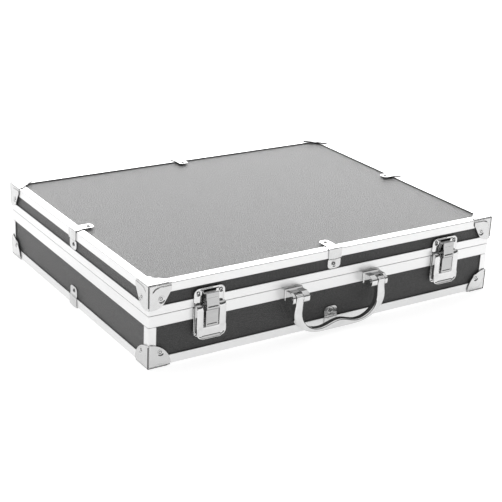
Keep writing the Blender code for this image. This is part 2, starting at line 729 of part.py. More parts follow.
def make_brackets():
    """The two brackets that carry the handle's pins."""
    radius = BRACKET_HEIGHT / 2
    # Out and up: a straight back and a round front.
    outline = [(GAP, radius), (GAP, -radius)]
    outline += arc((BRACKET_REACH - radius, 0), radius, -90, 90, 10)
    bracket = cross_sheet("bracket", outline, -BRACKET_WIDTH / 2, BRACKET_WIDTH / 2)
    notch_half = BRACKET_WIDTH / 2 - BRACKET_EAR
    notch = block(
        "notch",
        (-notch_half, -BRACKET_HEIGHT, BRACKET_WEB),
        (notch_half, BRACKET_HEIGHT, 2 * BRACKET_REACH),
    )
    bore = rod(
        "bore",
        HANDLE_PIN + PIN_CLEARANCE,
        (-BRACKET_WIDTH, 0, HANDLE_PIVOT_OUT),
        (BRACKET_WIDTH, 0, HANDLE_PIVOT_OUT),
    )
    cut(bracket, notch, bore)
    for name, x in (("left", -BRACKET_X), ("right", BRACKET_X)):
        place = (x, HANDLE_PIVOT_HEIGHT, 0)
        dress(copy_of(bracket, "handle_bracket_" + name), CHROME, FRAMES["front"], place)
    bpy.data.objects.remove(bracket)


def quarter(corner_x, low_y, wide, high, steps):
    """A quarter ellipse from its lowest point to its outermost one."""
    points = []
    for i in range(steps + 1):
        angle = pi / 2 * i / steps
        points.append((corner_x - wide + wide * sin(angle), low_y + high - high * cos(angle)))
    return points


def handle_outline():
    """The handle seen from the front, hanging, with the pivot at Y 0: outer edge, then inner."""
    outer, inner = BRACKET_X + HANDLE_HEAD / 2, BRACKET_X - HANDLE_HEAD / 2
    arm_outer, arm_inner = HANDLE_ARM_X + HANDLE_ARM / 2, HANDLE_ARM_X - HANDLE_ARM / 2
    neck = -BRACKET_HEIGHT / 2 - HANDLE_PIN
    shoulder = neck - HANDLE_PIN
    low_outer, low_inner = arm_outer - HANDLE_TAPER, arm_inner - HANDLE_TAPER
    bend_high = BEND_SHARE * HANDLE_DROP
    thin_top = GRIP_THIN - HANDLE_DROP
    right = [(outer, 0), (outer, neck), (arm_outer, shoulder)]
    right += reversed(quarter(low_outer, -HANDLE_DROP, BEND_WIDE, bend_high, 10))
    inner_wide = low_inner - HUMP_HALF
    inside = quarter(low_inner, thin_top, inner_wide, bend_high - GRIP_THIN, 8)
    inside += [(arm_inner, shoulder), (inner, neck), (inner, 0)]
    rise = GRIP_THICK - GRIP_THIN
    waves = 14
    hump = []
    for i in range(1, waves):
        x = HUMP_HALF * (2 * i / waves - 1)
        hump.append((x, thin_top + rise * (1 + cos(pi * x / HUMP_HALF)) / 2))
    mirrored = [(-x, y) for x, y in reversed(right)]
    mirrored_inside = [(-x, y) for x, y in reversed(inside)]
    return right + mirrored + mirrored_inside + hump + inside


def make_handle():
    """The handle with its pins, its origin on its pivot axis."""
    back, front = HANDLE_SET_OUT - HANDLE_THICK / 2, HANDLE_SET_OUT + HANDLE_THICK / 2
    handle = outline_sheet("handle", handle_outline(), back, front)
    bevel(handle, HANDLE_ROUNDING, 2, angle=50)
    pin_half = BRACKET_WIDTH / 2 - PIN_CLEARANCE
    pieces = []
    half_eye = HANDLE_HEAD / 2 - GAP / 2
    for x in (-BRACKET_X, BRACKET_X):
        pieces.append(rod("eye", HANDLE_EYE, (x - half_eye, 0, 0), (x + half_eye, 0, 0)))
        pieces.append(rod("pin", HANDLE_PIN, (x - pin_half, 0, 0), (x + pin_half, 0, 0)))
    pivot = (0, HANDLE_PIVOT_HEIGHT, HANDLE_PIVOT_OUT)
    return dress(join(handle, *pieces), CHROME, FRAMES["front"], pivot)


# ---------------------------------------------------------------- hinges


def hinge_leaf(name, up, knuckles):
    """A leaf that reaches up or down from the hinge's axis at the origin, with its knuckles.

    X runs along the hinge, Y up and Z outwards. knuckles are (from, to) along X.
    """
    back = GAP - HINGE_AXIS_OUT
    front = back + HINGE_SHEET
    clear = HINGE_BARREL + GAP
    half = HINGE_WIDTH / 2
    y = sorted((up * clear, up * (clear + HINGE_LEAF)))
    leaf = block(name, (-half, y[0], back), (half, y[1], front))
    pieces = []
    for start, end in knuckles:
        tab = sorted((up * HINGE_SHEET / 2, up * (clear + HINGE_SHEET)))
        pieces.append(block("tab", (start + GAP, tab[0], back), (end - GAP, tab[1], front)))
        pieces.append(rod("knuckle", HINGE_BARREL, (start, 0, 0), (end, 0, 0)))
    rivet_up = up * (clear + 0.6 * HINGE_LEAF)
    for x in (-0.72 * half, 0, 0.72 * half):
        pieces.append(rivet_head((x, rivet_up, front), (0, 0, 1)))
    join(leaf, *pieces)
    return cut(leaf, rod("bore", HINGE_PIN + PIN_CLEARANCE, (-2 * half, 0, 0), (2 * half, 0, 0)))


def make_hinges():
    """Two butt hinges on the back. Returns the leaves that belong to the lid."""
    half, middle = HINGE_WIDTH / 2, HINGE_MIDDLE / 2
    outer = middle + HINGE_SLACK
    lid_leaf = hinge_leaf("lid_leaf", 1, [(-middle, middle)])
    base_leaf = hinge_leaf("base_leaf", -1, [(-half, -outer), (outer, half)])
    pin = rod("hinge_pin", HINGE_PIN, (-half, 0, 0), (half, 0, 0))
    lid = []
    # Seen from behind, the hinge on the case's left is at +X.
    for name, x in (("left", HINGE_X), ("right", -HINGE_X)):
        place = (x, BASE_HEIGHT, HINGE_AXIS_OUT)
        lid.append(dress(copy_of(lid_leaf, "hinge_lid_leaf_" + name), STEEL, FRAMES["back"], place))
        dress(copy_of(base_leaf, "hinge_base_leaf_" + name), STEEL, FRAMES["back"], place)
        dress(copy_of(pin, "hinge_pin_" + name), STEEL, FRAMES["back"], place)
    for pattern in (lid_leaf, base_leaf, pin):
        bpy.data.objects.remove(pattern)
    return lid


# ---------------------------------------------------------------- assembly

for leftover in list(bpy.data.objects):
    bpy.data.objects.remove(leftover)

PARTS = fresh_collection("aluminium_case")
CUTTERS = fresh_collection("cutters")
ALUMINIUM = finish("aluminium", (0.80, 0.80, 0.81), 0.35, 1)
STEEL = finish("nickel_plated_steel", (0.78, 0.78, 0.78), 0.18, 1)
CHROME = finish("chrome", (0.85, 0.85, 0.86), 0.08, 1)
LAMINATE = finish("black_laminate", (0.035, 0.035, 0.036), 0.45, 0)
FOAM = finish("black_foam", (0.02, 0.02, 0.02), 0.95, 0)

RIVET_ROOT = CAP_SHEET / 3
# The solid part of each rim, between the parting line and the channel that the boards stand in.
BASE_RIM_FLOOR = GROOVE_DEPTH + PROFILE_WALL
LID_RIM_FLOOR = 1.5 * PROFILE_WALL
BASE_BOARD_TOP = BASE_HEIGHT - RIM_HALF_GAP - BASE_RIM_FLOOR - GAP
LID_BOARD_BOTTOM = BASE_HEIGHT + RIM_HALF_GAP + LID_RIM_FLOOR + GAP
HANDLE_PIVOT_HEIGHT = BASE_HEIGHT + BRACKET_TOP - BRACKET_HEIGHT / 2
HANDLE_DROP = HANDLE_PIVOT_HEIGHT - HANDLE_LOW
HANDLE_HEAD = BRACKET_WIDTH - 2 * BRACKET_EAR - 4 * PIN_CLEARANCE  # between the ears
RIM_CLEARANCE = RIM_INNER - BOARD_INNER  # keeps the lid's pad clear of its rim
FRAMES = {side: side_frame(side) for side in SIDES}

lid_pieces = make_shell() + make_linings() + make_caps() + make_clamps() + make_latches()
make_brackets()
make_handle()
lid_pieces += make_hinges()
lid_axis = empty("lid_axis", (0, SHELL_DEPTH / 2 + HINGE_AXIS_OUT, BASE_HEIGHT))
hang_on(lid_axis, lid_pieces)
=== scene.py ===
"""Looks of a flat hard case: black boards in aluminium edging, with a hinged lid.

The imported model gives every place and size. Each sub-assembly is a class that builds its pieces
in the frame's own coordinates: X to the right along the front, -Y to the front, Z up, in metres.
"""

from __future__ import annotations

import json
import logging
import sys
from collections.abc import Callable, Iterable, Sequence
from dataclasses import dataclass
from enum import Enum
from math import atan2, cos, pi, radians, sin, tan
from typing import NamedTuple

import bmesh
import bpy
import numpy as np
from mathutils import Matrix, Vector


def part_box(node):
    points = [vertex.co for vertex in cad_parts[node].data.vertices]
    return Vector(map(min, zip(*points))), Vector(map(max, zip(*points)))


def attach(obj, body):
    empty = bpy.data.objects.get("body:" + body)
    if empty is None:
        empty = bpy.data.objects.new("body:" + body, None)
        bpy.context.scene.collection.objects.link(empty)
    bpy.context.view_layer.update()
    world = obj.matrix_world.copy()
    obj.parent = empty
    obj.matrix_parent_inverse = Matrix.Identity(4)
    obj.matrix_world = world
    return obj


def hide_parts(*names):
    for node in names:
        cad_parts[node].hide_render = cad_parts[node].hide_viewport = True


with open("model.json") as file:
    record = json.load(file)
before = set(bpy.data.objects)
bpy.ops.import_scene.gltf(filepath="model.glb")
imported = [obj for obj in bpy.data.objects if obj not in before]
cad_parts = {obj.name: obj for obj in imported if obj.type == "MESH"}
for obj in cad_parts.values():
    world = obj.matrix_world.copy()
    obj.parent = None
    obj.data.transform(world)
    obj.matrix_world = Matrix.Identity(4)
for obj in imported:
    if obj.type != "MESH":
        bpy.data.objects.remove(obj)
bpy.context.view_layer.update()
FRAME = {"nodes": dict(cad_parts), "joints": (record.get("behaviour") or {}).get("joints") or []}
JOINTS = {joint["name"]: joint for joint in FRAME["joints"]}
MM = 0.001
GAP = 0.3 * MM
Z_TO_X = Matrix.Rotation(pi / 2, 4, "Y")
LOG = logging.getLogger("case")

Point = tuple[float, float]
RoundedCorner = tuple[float, float, float]


class Place(NamedTuple):
    """A point, in full precision."""

    x: float
    y: float
    z: float


class Side(Enum):
    """The four upright sides of the case, in turning order seen from above."""

    FRONT = "front"
    RIGHT = "right"
    BACK = "back"
    LEFT = "left"

    @property
    def along_x(self) -> bool:
        """Whether the side runs along X."""
        return self in (Side.FRONT, Side.BACK)


class Corner(Enum):
    """The four corners seen from above, with the way from each one into the case."""

    FRONT_LEFT = ("front_left", 1, 1)
    FRONT_RIGHT = ("front_right", -1, 1)
    BACK_RIGHT = ("back_right", -1, -1)
    BACK_LEFT = ("back_left", 1, -1)


class Half(Enum):
    """The two halves of the case: the name of each one's body and nodes."""

    BASE = "base"
    LID = "lid"


class Hand(Enum):
    """Left or right, as seen from the front."""

    LEFT = "left"
    RIGHT = "right"


class Grain(Enum):
    """Which way a drawn or brushed surface's fine lines run."""

    ALONG_X = "x"
    ALONG_Y = "y"
    ALONG_Z = "z"
    ROUND_THE_RIM = "rim"


class Slot(Enum):
    """The record's material slots."""

    ALUMINIUM = "aluminium_profile"
    STEEL = "plated_steel"
    CHROME = "chrome"
    LAMINATE = "black_laminate"
    FOAM = "foam"


# ---------------------------------------------------------------- finishes


class Nodes:
    """A small helper for writing a material's node tree."""

    def __init__(self, name: str) -> None:
        """Makes the material and keeps its Principled shader.

        Args:
            name: The material's name.
        """
        self.material = bpy.data.materials.new(name)
        self.material.use_nodes = True
        self.tree = self.material.node_tree
        self.shader = self.tree.nodes["Principled BSDF"]

    def add(self, kind: str, **settings: object) -> bpy.types.Node:
        """Adds a node.

        Args:
            kind: The node's type name.
            settings: Properties to set on it.

        Returns:
            The new node.
        """
        node = self.tree.nodes.new(kind)
        for key, value in settings.items():
            setattr(node, key, value)
        return node

    def link(self, source: bpy.types.NodeSocket, target: bpy.types.NodeSocket) -> None:
        """Links two sockets."""
        self.tree.links.new(source, target)

    def place(self, scale: Sequence[float] = (1, 1, 1)) -> bpy.types.NodeSocket:
        """Gives the point on the piece, in metres at rest, times a scale.

        Args:
            scale: How much finer the pattern is along each axis.

        Returns:
            The vector socket.
        """
        mapping = self.add("ShaderNodeMapping")
        mapping.inputs["Scale"].default_value = scale
        self.link(self.add("ShaderNodeTexCoord").outputs["Object"], mapping.inputs["Vector"])
        return mapping.outputs["Vector"]

    def noise(
        self, vector: bpy.types.NodeSocket, scale: float, detail: float = 3.0
    ) -> bpy.types.NodeSocket:
        """Adds fractal noise.

        Args:
            vector: Where it is read.
            scale: Its scale, in features a metre.
            detail: Its number of octaves.

        Returns:
            The value socket.
        """
        node = self.add("ShaderNodeTexNoise")
        node.inputs["Scale"].default_value = scale
        node.inputs["Detail"].default_value = detail
        self.link(vector, node.inputs["Vector"])
        return node.outputs["Fac"]

    def remap(
        self, value: bpy.types.NodeSocket, to_low: float, to_high: float,
        from_low: float = 0.3, from_high: float = 0.7,
    ) -> bpy.types.NodeSocket:
        """Maps a value from one range to another, and holds it there.

        Args:
            value: The value to map.
            to_low: The result at from_low.
            to_high: The result at from_high.
            from_low: Start of the value's range.
            from_high: End of the value's range.

        Returns:
            The mapped socket.
        """
        node = self.add("ShaderNodeMapRange")
        for key, number in zip(
            ("From Min", "From Max", "To Min", "To Max"), (from_low, from_high, to_low, to_high)
        ):
            node.inputs[key].default_value = number
        self.link(value, node.inputs["Value"])
        return node.outputs["Result"]

    def tint(
        self, value: bpy.types.NodeSocket, dark: Sequence[float], light: Sequence[float],
        low: float = 0.3, high: float = 0.7,
    ) -> None:
        """Colours the shader between two tones.

        Args:
            value: Where between the tones.
            dark: The tone at low.
            light: The tone at high.
            low: The value of the dark tone.
            high: The value of the light tone.
        """
        ramp = self.add("ShaderNodeValToRGB")
        ramp.color_ramp.elements[0].position = low
        ramp.color_ramp.elements[1].position = high
        ramp.color_ramp.elements[0].color = (*dark, 1)
        ramp.color_ramp.elements[1].color = (*light, 1)
        self.link(value, ramp.inputs["Fac"])
        self.link(ramp.outputs["Color"], self.shader.inputs["Base Color"])

    def bump(self, layers: Iterable[tuple[bpy.types.NodeSocket, float]]) -> None:
        """Stacks bumps, from the coarsest to the finest, on the shader.

        Args:
            layers: Pairs of a height and its full depth in metres.
        """
        normal = None
        for height, depth in layers:
            node = self.add("ShaderNodeBump")
            node.inputs["Distance"].default_value = depth
            self.link(height, node.inputs["Height"])
            if normal is not None:
                self.link(normal, node.inputs["Normal"])
            normal = node.outputs["Normal"]
        self.link(normal, self.shader.inputs["Normal"])


@dataclass(frozen=True)
class Finish:
    """What every finish has: a name, a slot in the record, and a way to make its material."""

    name: str
    slot: Slot

    def build(self) -> bpy.types.Material:
        """Makes the material. Each kind of finish has its own."""
        raise NotImplementedError

    def material(self) -> bpy.types.Material:
        """Gives the material, made on first use."""
        return bpy.data.materials.get(self.name) or self.build()


@dataclass(frozen=True)
class DrawnAluminium(Finish):
    """Aluminium profile with fine lines along its length and a soft, slightly uneven shine."""

    grain: Grain = Grain.ALONG_X
    tone: float = 0.78
    roughness: float = 0.34
    across: float = 2600.0
    along: float = 14.0
    cloud_scale: float = 38.0
    scuff_scale: float = 620.0
    scuff_depth: float = 4e-6
    line_depth: float = 6e-6

    def grain_value(self, nodes: Nodes) -> bpy.types.NodeSocket:
        """Makes the fine lines.

        Args:
            nodes: The material being made.

        Returns:
            Their height, from 0 to 1.
        """
        across, along = self.across, self.along
        scales = {
            Grain.ALONG_X: (along, across, across),
            Grain.ALONG_Y: (across, along, across),
            Grain.ALONG_Z: (across, across, along),
        }
        if self.grain is not Grain.ROUND_THE_RIM:
            return nodes.noise(nodes.place(scales[self.grain]), 1.0, 2.0)
        front = nodes.noise(nodes.place(scales[Grain.ALONG_X]), 1.0, 2.0)
        side = nodes.noise(nodes.place(scales[Grain.ALONG_Y]), 1.0, 2.0)
        split = nodes.add("ShaderNodeSeparateXYZ")
        nodes.link(nodes.add("ShaderNodeTexCoord").outputs["Normal"], split.inputs["Vector"])
        size = nodes.add("ShaderNodeMath", operation="ABSOLUTE")
        nodes.link(split.outputs["X"], size.inputs[0])
        mix = nodes.add("ShaderNodeMix", data_type="FLOAT")
        nodes.link(nodes.remap(size.outputs["Value"], 0, 1, 0.6, 0.8), mix.inputs[0])
        nodes.link(front, mix.inputs[2])
        nodes.link(side, mix.inputs[3])
        return mix.outputs[0]

    def build(self) -> bpy.types.Material:
        """Makes the material."""
        nodes = Nodes(self.name)
        lines = self.grain_value(nodes)
        cloud = nodes.noise(nodes.place(), self.cloud_scale, 4.0)
        scuffs = nodes.noise(nodes.place((1, 1.7, 2.3)), self.scuff_scale, 2.0)
        nodes.shader.inputs["Metallic"].default_value = 1
        nodes.tint(cloud, [self.tone * 0.965] * 3, [self.tone * 1.02] * 3)
        mix = nodes.add("ShaderNodeMath", operation="MULTIPLY_ADD")
        nodes.link(lines, mix.inputs[0])
        mix.inputs[1].default_value = 0.10
        nodes.link(nodes.remap(cloud, self.roughness - 0.08, self.roughness), mix.inputs[2])
        nodes.link(mix.outputs["Value"], nodes.shader.inputs["Roughness"])
        nodes.bump([(scuffs, self.scuff_depth), (lines, self.line_depth)])
        return nodes.material


@dataclass(frozen=True)
class PlatedMetal(Finish):
    """Plated steel or zinc: a bright coat with faint handling marks and small waves."""

    tone: float = 0.80
    roughness: float = 0.16
    smear: float = 0.10
    wave: float = 1e-5
    smear_scale: float = 120.0
    speck_scale: float = 1900.0
    speck_depth: float = 2e-6

    def build(self) -> bpy.types.Material:
        """Makes the material."""
        nodes = Nodes(self.name)
        smears = nodes.noise(nodes.place((1, 1.6, 1.2)), self.smear_scale, 5.0)
        specks = nodes.noise(nodes.place(), self.speck_scale, 2.0)
        nodes.shader.inputs["Metallic"].default_value = 1
        nodes.tint(smears, [self.tone * 0.95] * 3, [self.tone * 1.03] * 3)
        rough = nodes.remap(smears, self.roughness, self.roughness + self.smear, 0.42, 0.72)
        nodes.link(rough, nodes.shader.inputs["Roughness"])
        nodes.bump([(smears, self.wave), (specks, self.speck_depth)])
        return nodes.material


@dataclass(frozen=True)
class PebbledLaminate(Finish):
    """Black laminate with a fine pebbled grain, a little paler on top of the pebbles: painted shade in
    the hollows between them.
    """

    tone: float = 0.019
    roughness: float = 0.38
    pebbles: float = 1000.0
    pebble_depth: float = 3e-4
    patch_scale: float = 26.0
    patch_depth: float = 4e-5
    sheen: float = 0.2

    def build(self) -> bpy.types.Material:
        """Makes the material."""
        nodes = Nodes(self.name)
        place = nodes.place()
        warp = nodes.add("ShaderNodeTexNoise")
        warp.inputs["Scale"].default_value = self.pebbles * 0.5
        nodes.link(place, warp.inputs["Vector"])
        bend = nodes.add("ShaderNodeVectorMath", operation="MULTIPLY_ADD")
        nodes.link(warp.outputs["Color"], bend.inputs[0])
        bend.inputs[1].default_value = [0.6 / self.pebbles] * 3
        nodes.link(place, bend.inputs[2])
        cells = nodes.add("ShaderNodeTexVoronoi", feature="SMOOTH_F1")
        cells.inputs["Scale"].default_value = self.pebbles
        cells.inputs["Smoothness"].default_value = 0.4
        nodes.link(bend.outputs["Vector"], cells.inputs["Vector"])
        tops = nodes.remap(cells.outputs["Distance"], 1, 0, 0.1, 0.65)
        patch = nodes.noise(place, self.patch_scale, 4.0)
        # Partly painted shade: the random patches are the laminate's own tone; the part keyed to the
        # pebbles darkens their hollows.
        blotch_and_pit_shade = nodes.add("ShaderNodeMath", operation="MULTIPLY_ADD")
        nodes.link(patch, blotch_and_pit_shade.inputs[0])
        blotch_and_pit_shade.inputs[1].default_value = 0.35
        nodes.link(tops, blotch_and_pit_shade.inputs[2])
        nodes.tint(blotch_and_pit_shade.outputs["Value"], [self.tone * 0.7] * 3, [self.tone * 1.5] * 3, 0.1, 1.2)
        nodes.link(
            nodes.remap(tops, self.roughness + 0.12, self.roughness - 0.05, 0, 1),
            nodes.shader.inputs["Roughness"],
        )
        nodes.bump([(patch, self.patch_depth), (tops, self.pebble_depth)])
        nodes.shader.inputs["Specular IOR Level"].default_value = 0.6
        nodes.shader.inputs["Sheen Weight"].default_value = self.sheen
        nodes.shader.inputs["Sheen Roughness"].default_value = 0.45
        return nodes.material


@dataclass(frozen=True)
class OpenCellFoam(Finish):
    """Black foam: matt, with small open cells and a dusty sheen."""

    tone: float = 0.022
    cell_scale: float = 900.0
    cell_depth: float = 2.5e-4
    cloud_scale: float = 60.0
    cloud_depth: float = 4e-4
    sheen: float = 0.3

    def build(self) -> bpy.types.Material:
        """Makes the material."""
        nodes = Nodes(self.name)
        place = nodes.place()
        cells = nodes.add("ShaderNodeTexVoronoi", feature="F1")
        cells.inputs["Scale"].default_value = self.cell_scale
        nodes.link(place, cells.inputs["Vector"])
        pores = nodes.remap(cells.outputs["Distance"], 0, 1, 0.15, 0.6)
        cloud = nodes.noise(place, self.cloud_scale, 4.0)
        nodes.tint(cloud, [self.tone * 0.6] * 3, [self.tone * 1.6] * 3)
        nodes.link(nodes.remap(pores, 0.98, 0.85, 0, 1), nodes.shader.inputs["Roughness"])
        nodes.bump([(cloud, self.cloud_depth), (pores, self.cell_depth)])
        nodes.shader.inputs["Sheen Weight"].default_value = self.sheen
        return nodes.material


@dataclass(frozen=True)
class StudioPaint(Finish):
    """The studio's pale floor, with a hardly visible mottle."""

    tone: float = 0.42
    glow: float = 0.78

    def build(self) -> bpy.types.Material:
        """Makes the material."""
        nodes = Nodes(self.name)
        nodes.tint(nodes.noise(nodes.place(), 3.0), [self.tone * 0.995] * 3, [self.tone] * 3)
        nodes.shader.inputs["Roughness"].default_value = 0.9
        nodes.shader.inputs["Emission Color"].default_value = (1, 1, 1, 1)
        nodes.shader.inputs["Emission Strength"].default_value = self.glow
        return nodes.material


ALUMINIUM_X = DrawnAluminium("drawn_aluminium_along_x", Slot.ALUMINIUM, Grain.ALONG_X)
ALUMINIUM_Y = DrawnAluminium("drawn_aluminium_along_y", Slot.ALUMINIUM, Grain.ALONG_Y)
ALUMINIUM_Z = DrawnAluminium("drawn_aluminium_along_z", Slot.ALUMINIUM, Grain.ALONG_Z)
ALUMINIUM_RIM = DrawnAluminium("drawn_aluminium_rim", Slot.ALUMINIUM, Grain.ROUND_THE_RIM)
STEEL = PlatedMetal("nickel_plated_steel", Slot.STEEL, 0.76, 0.20, 0.12)
CAP_STEEL = PlatedMetal("pressed_steel", Slot.STEEL, 0.60, 0.12, 0.16, 8e-5)
# Painted shade: this steel is darkened to stand for the shade in the dished holes the rivets sit in;
# the hinge pins share it.
RIVET_STEEL_PAINTED_SHADE = PlatedMetal("rivet_steel", Slot.STEEL, 0.20, 0.25, 0.12)
# Painted shade: a near-black steel for the bars that stand for the shadow in the caps' fold grooves.
SEAM_SHADE_STEEL = PlatedMetal("tarnished_seam", Slot.STEEL, 0.06, 0.55, 0.15)
CHROME = PlatedMetal("chrome_plate", Slot.CHROME, 0.66, 0.05, 0.08)
# Partly painted shade: the rougher sheen is the draw plate's own, but its tone, darker than the
# chrome's, is painted shade on the strip.
SATIN_CHROME_PAINTED_SHADE = PlatedMetal("satin_chrome_plate", Slot.CHROME, 0.46, 0.16, 0.10)
LAMINATE = PebbledLaminate("pebbled_black_laminate", Slot.LAMINATE)
FOAM = OpenCellFoam("black_foam", Slot.FOAM)
FLOOR_PAINT = StudioPaint("studio_floor", Slot.LAMINATE)


# ---------------------------------------------------------------- shaping


def at(x: float = 0, y: float = 0, z: float = 0) -> Matrix:
    """Gives a move as a matrix."""
    return Matrix.Translation((x, y, z))


def half_width(node: str) -> float:
    """Gives half of a node's width along X."""
    low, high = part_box(node)
    return (high.x - low.x) / 2


def in_scene(name: str, data: bpy.types.ID) -> bpy.types.Object:
    """Puts data into the scene.

    Args:
        name: The object's name.
        data: Its mesh, curve, light or camera.

    Returns:
        The object.
    """
    obj = bpy.data.objects.new(name, data)
    bpy.context.scene.collection.objects.link(obj)
    return obj


def evaluated(obj: bpy.types.Object) -> bpy.types.Mesh:
    """Takes an object's finished mesh, and removes the object.

    Args:
        obj: The object.

    Returns:
        Its mesh with all modifiers run.
    """
    graph = bpy.context.evaluated_depsgraph_get()
    mesh = bpy.data.meshes.new_from_object(obj.evaluated_get(graph))
    bpy.data.objects.remove(obj)
    return mesh


def outward(mesh: bpy.types.Mesh) -> bpy.types.Mesh:
    """Turns a closed mesh's faces outwards.

    Args:
        mesh: The mesh, which is changed.

    Returns:
        The same mesh.
    """
    bm = bmesh.new()
    bm.from_mesh(mesh)
    bmesh.ops.recalc_face_normals(bm, faces=bm.faces)
    bm.to_mesh(mesh)
    bm.free()
    return mesh


def fillet(corners: Sequence[RoundedCorner], steps: int = 5) -> list[Point]:
    """Rounds the corners of a closed outline.

    Args:
        corners: Each corner's two coordinates and its radius.
        steps: How many pieces each rounding has.

    Returns:
        The outline's points.
    """
    points: list[Point] = []
    count = len(corners)
    for i, (x, y, radius) in enumerate(corners):
        here = Vector((x, y))
        before = Vector(corners[i - 1][:2]) - here
        after = Vector(corners[(i + 1) % count][:2]) - here
        if radius <= 0:
            points.append((x, y))
            continue
        half = before.angle(after) / 2
        reach = min(radius / tan(half), 0.49 * before.length, 0.49 * after.length)
        middle = (before.normalized() + after.normalized()).normalized()
        centre = here + middle * (reach / cos(half))
        first = here + before.normalized() * reach - centre
        last = here + after.normalized() * reach - centre
        turn = atan2(first.x * last.y - first.y * last.x, first.dot(last))
        for k in range(steps + 1):
            arm = Matrix.Rotation(turn * k / steps, 2) @ first
            points.append((centre.x + arm.x, centre.y + arm.y))
    return points


def rounded_box(
    low: Point, high: Point, bottom: float, top: float | None = None, steps: int = 5
) -> list[Point]:
    """Draws a box with rounded corners.

    Args:
        low: Its lower left corner.
        high: Its upper right corner.
        bottom: Radius of its lower corners.
        top: Radius of its upper corners; left out, they are like the lower ones.
        steps: How many pieces each rounding has.

    Returns:
        The outline's points.
    """
    above = bottom if top is None else top
    (x0, y0), (x1, y1) = low, high
    return fillet([(x0, y0, bottom), (x1, y0, bottom), (x1, y1, above), (x0, y1, above)], steps)


def plate(
    outline: Sequence[Point], low: float, high: float, edge: float,
    holes: Sequence[Sequence[Point]] = (), resolution: int = 2,
) -> bpy.types.Mesh:
    """Makes a flat plate in X and Y with rounded edges.

    Args:
        outline: The outer outline.
        low: Z of its underside.
        high: Z of its top.
        edge: Radius of its edges.
        holes: Outlines of its holes.
        resolution: Fineness of the edges' rounding.

    Returns:
        A closed mesh.
    """
    curve = bpy.data.curves.new("plate", "CURVE")
    curve.dimensions = "2D"
    curve.fill_mode = "BOTH"
    curve.extrude = (high - low) / 2 - edge
    curve.bevel_depth = edge
    curve.bevel_resolution = resolution
    curve.offset = -edge
    for ring in (outline, *holes):
        spline = curve.splines.new("POLY")
        spline.points.add(len(ring) - 1)
        for point, (x, y) in zip(spline.points, ring):
            point.co = (x, y, 0, 1)
        spline.use_cyclic_u = True
    mesh = merged([evaluated(in_scene("plate", curve))], weld=1e-6)
    mesh.transform(at(0, 0, (low + high) / 2))
    return outward(mesh)


def cross_plate(
    outline: Sequence[Point], low: float, high: float, edge: float,
    holes: Sequence[Sequence[Point]] = (), resolution: int = 2,
) -> bpy.types.Mesh:
    """Makes a plate whose outline is (outwards, up) on a side, and whose thickness is along it.

    Args:
        outline: The outline, as pairs of outwards and up.
        low: Where the plate starts along the side.
        high: Where it ends.
        edge: Radius of its edges.
        holes: Outlines of its holes.
        resolution: Fineness of the edges' rounding.

    Returns:
        A closed mesh in a side's frame.
    """
    mesh = plate(outline, low, high, edge, holes, resolution)
    mesh.transform(Matrix(((0, 0, 1, 0), (0, 1, 0, 0), (1, 0, 0, 0), (0, 0, 0, 1))))
    mesh.flip_normals()
    return mesh


def paired_plates(
    outline: Sequence[Point], start: float, end: float, edge: float
) -> list[bpy.types.Mesh]:
    """Makes a cross plate on each side of the middle.

    Args:
        outline: The outline, as pairs of outwards and up.
        start: Distance of one face from the middle.
        end: Distance of the other face.
        edge: Radius of their edges.

    Returns:
        The two plates.
    """
    return [
        cross_plate(outline, *sorted((side * start, side * end)), edge) for side in (-1, 1)
    ]


def turned(profile: Sequence[Point], segments: int = 28) -> bpy.types.Mesh:
    """Turns a profile round the Z axis.

    Args:
        profile: Pairs of radius and height, from the top down; it may start and end on the axis.
        segments: How many sides the piece has.

    Returns:
        The mesh.
    """
    bm = bmesh.new()
    verts = [bm.verts.new((radius, 0, height)) for radius, height in profile]
    edges = [bm.edges.new(pair) for pair in zip(verts, verts[1:])]
    bmesh.ops.spin(
        bm, geom=verts + edges, cent=(0, 0, 0), axis=(0, 0, 1), angle=2 * pi, steps=segments
    )
    bmesh.ops.remove_doubles(bm, verts=bm.verts, dist=1e-7)
    bmesh.ops.recalc_face_normals(bm, faces=bm.faces)
    mesh = bpy.data.meshes.new("turned")
    bm.to_mesh(mesh)
    bm.free()
    return mesh


def rod(radius: float, half: float, soft: float, segments: int) -> bpy.types.Mesh:
    """Makes a round rod along X.

    Args:
        radius: Its radius.
        half: Its half length.
        soft: Width of the bevel at its ends, or 0 for none.
        segments: How many sides it has.

    Returns:
        A closed mesh.
    """
    upper = [(0, half), (radius - soft, half)]
    if soft:
        upper.append((radius, half - soft))
    lower = [(x, -z) for x, z in reversed(upper)]
    return moved(turned([*upper, *lower], segments), Z_TO_X)


def grid_mesh(points: np.ndarray, closed: bool = False, flip: bool = False) -> bpy.types.Mesh:
    """Skins rows of points with quads.

    Args:
        points: An array of rows, columns and 3.
        closed: Whether the last column meets the first.
        flip: Whether the faces look the other way.

    Returns:
        The mesh.
    """
    rows, columns = points.shape[:2]
    index = np.arange(rows * columns).reshape(rows, columns)
    if closed:
        index = np.concatenate([index, index[:, :1]], axis=1)
    quads = np.stack([index[:-1, :-1], index[1:, :-1], index[1:, 1:], index[:-1, 1:]], axis=-1)
    quads = quads.reshape(-1, 4)
    if flip:
        quads = quads[:, ::-1]
    mesh = bpy.data.meshes.new("grid")
    mesh.from_pydata(points.reshape(-1, 3).tolist(), [], quads.tolist())
    return mesh


def merged(meshes: Iterable[bpy.types.Mesh], weld: float = 0.0) -> bpy.types.Mesh:
    """Puts several meshes into one.

    Args:
        meshes: The meshes.
        weld: Points closer than this become one; 0 leaves them.

    Returns:
        One mesh.
    """
    bm = bmesh.new()
    for mesh in meshes:
        bm.from_mesh(mesh)
    if weld:
        bmesh.ops.remove_doubles(bm, verts=bm.verts, dist=weld)
    result = bpy.data.meshes.new("merged")
    bm.to_mesh(result)
    bm.free()
    return result


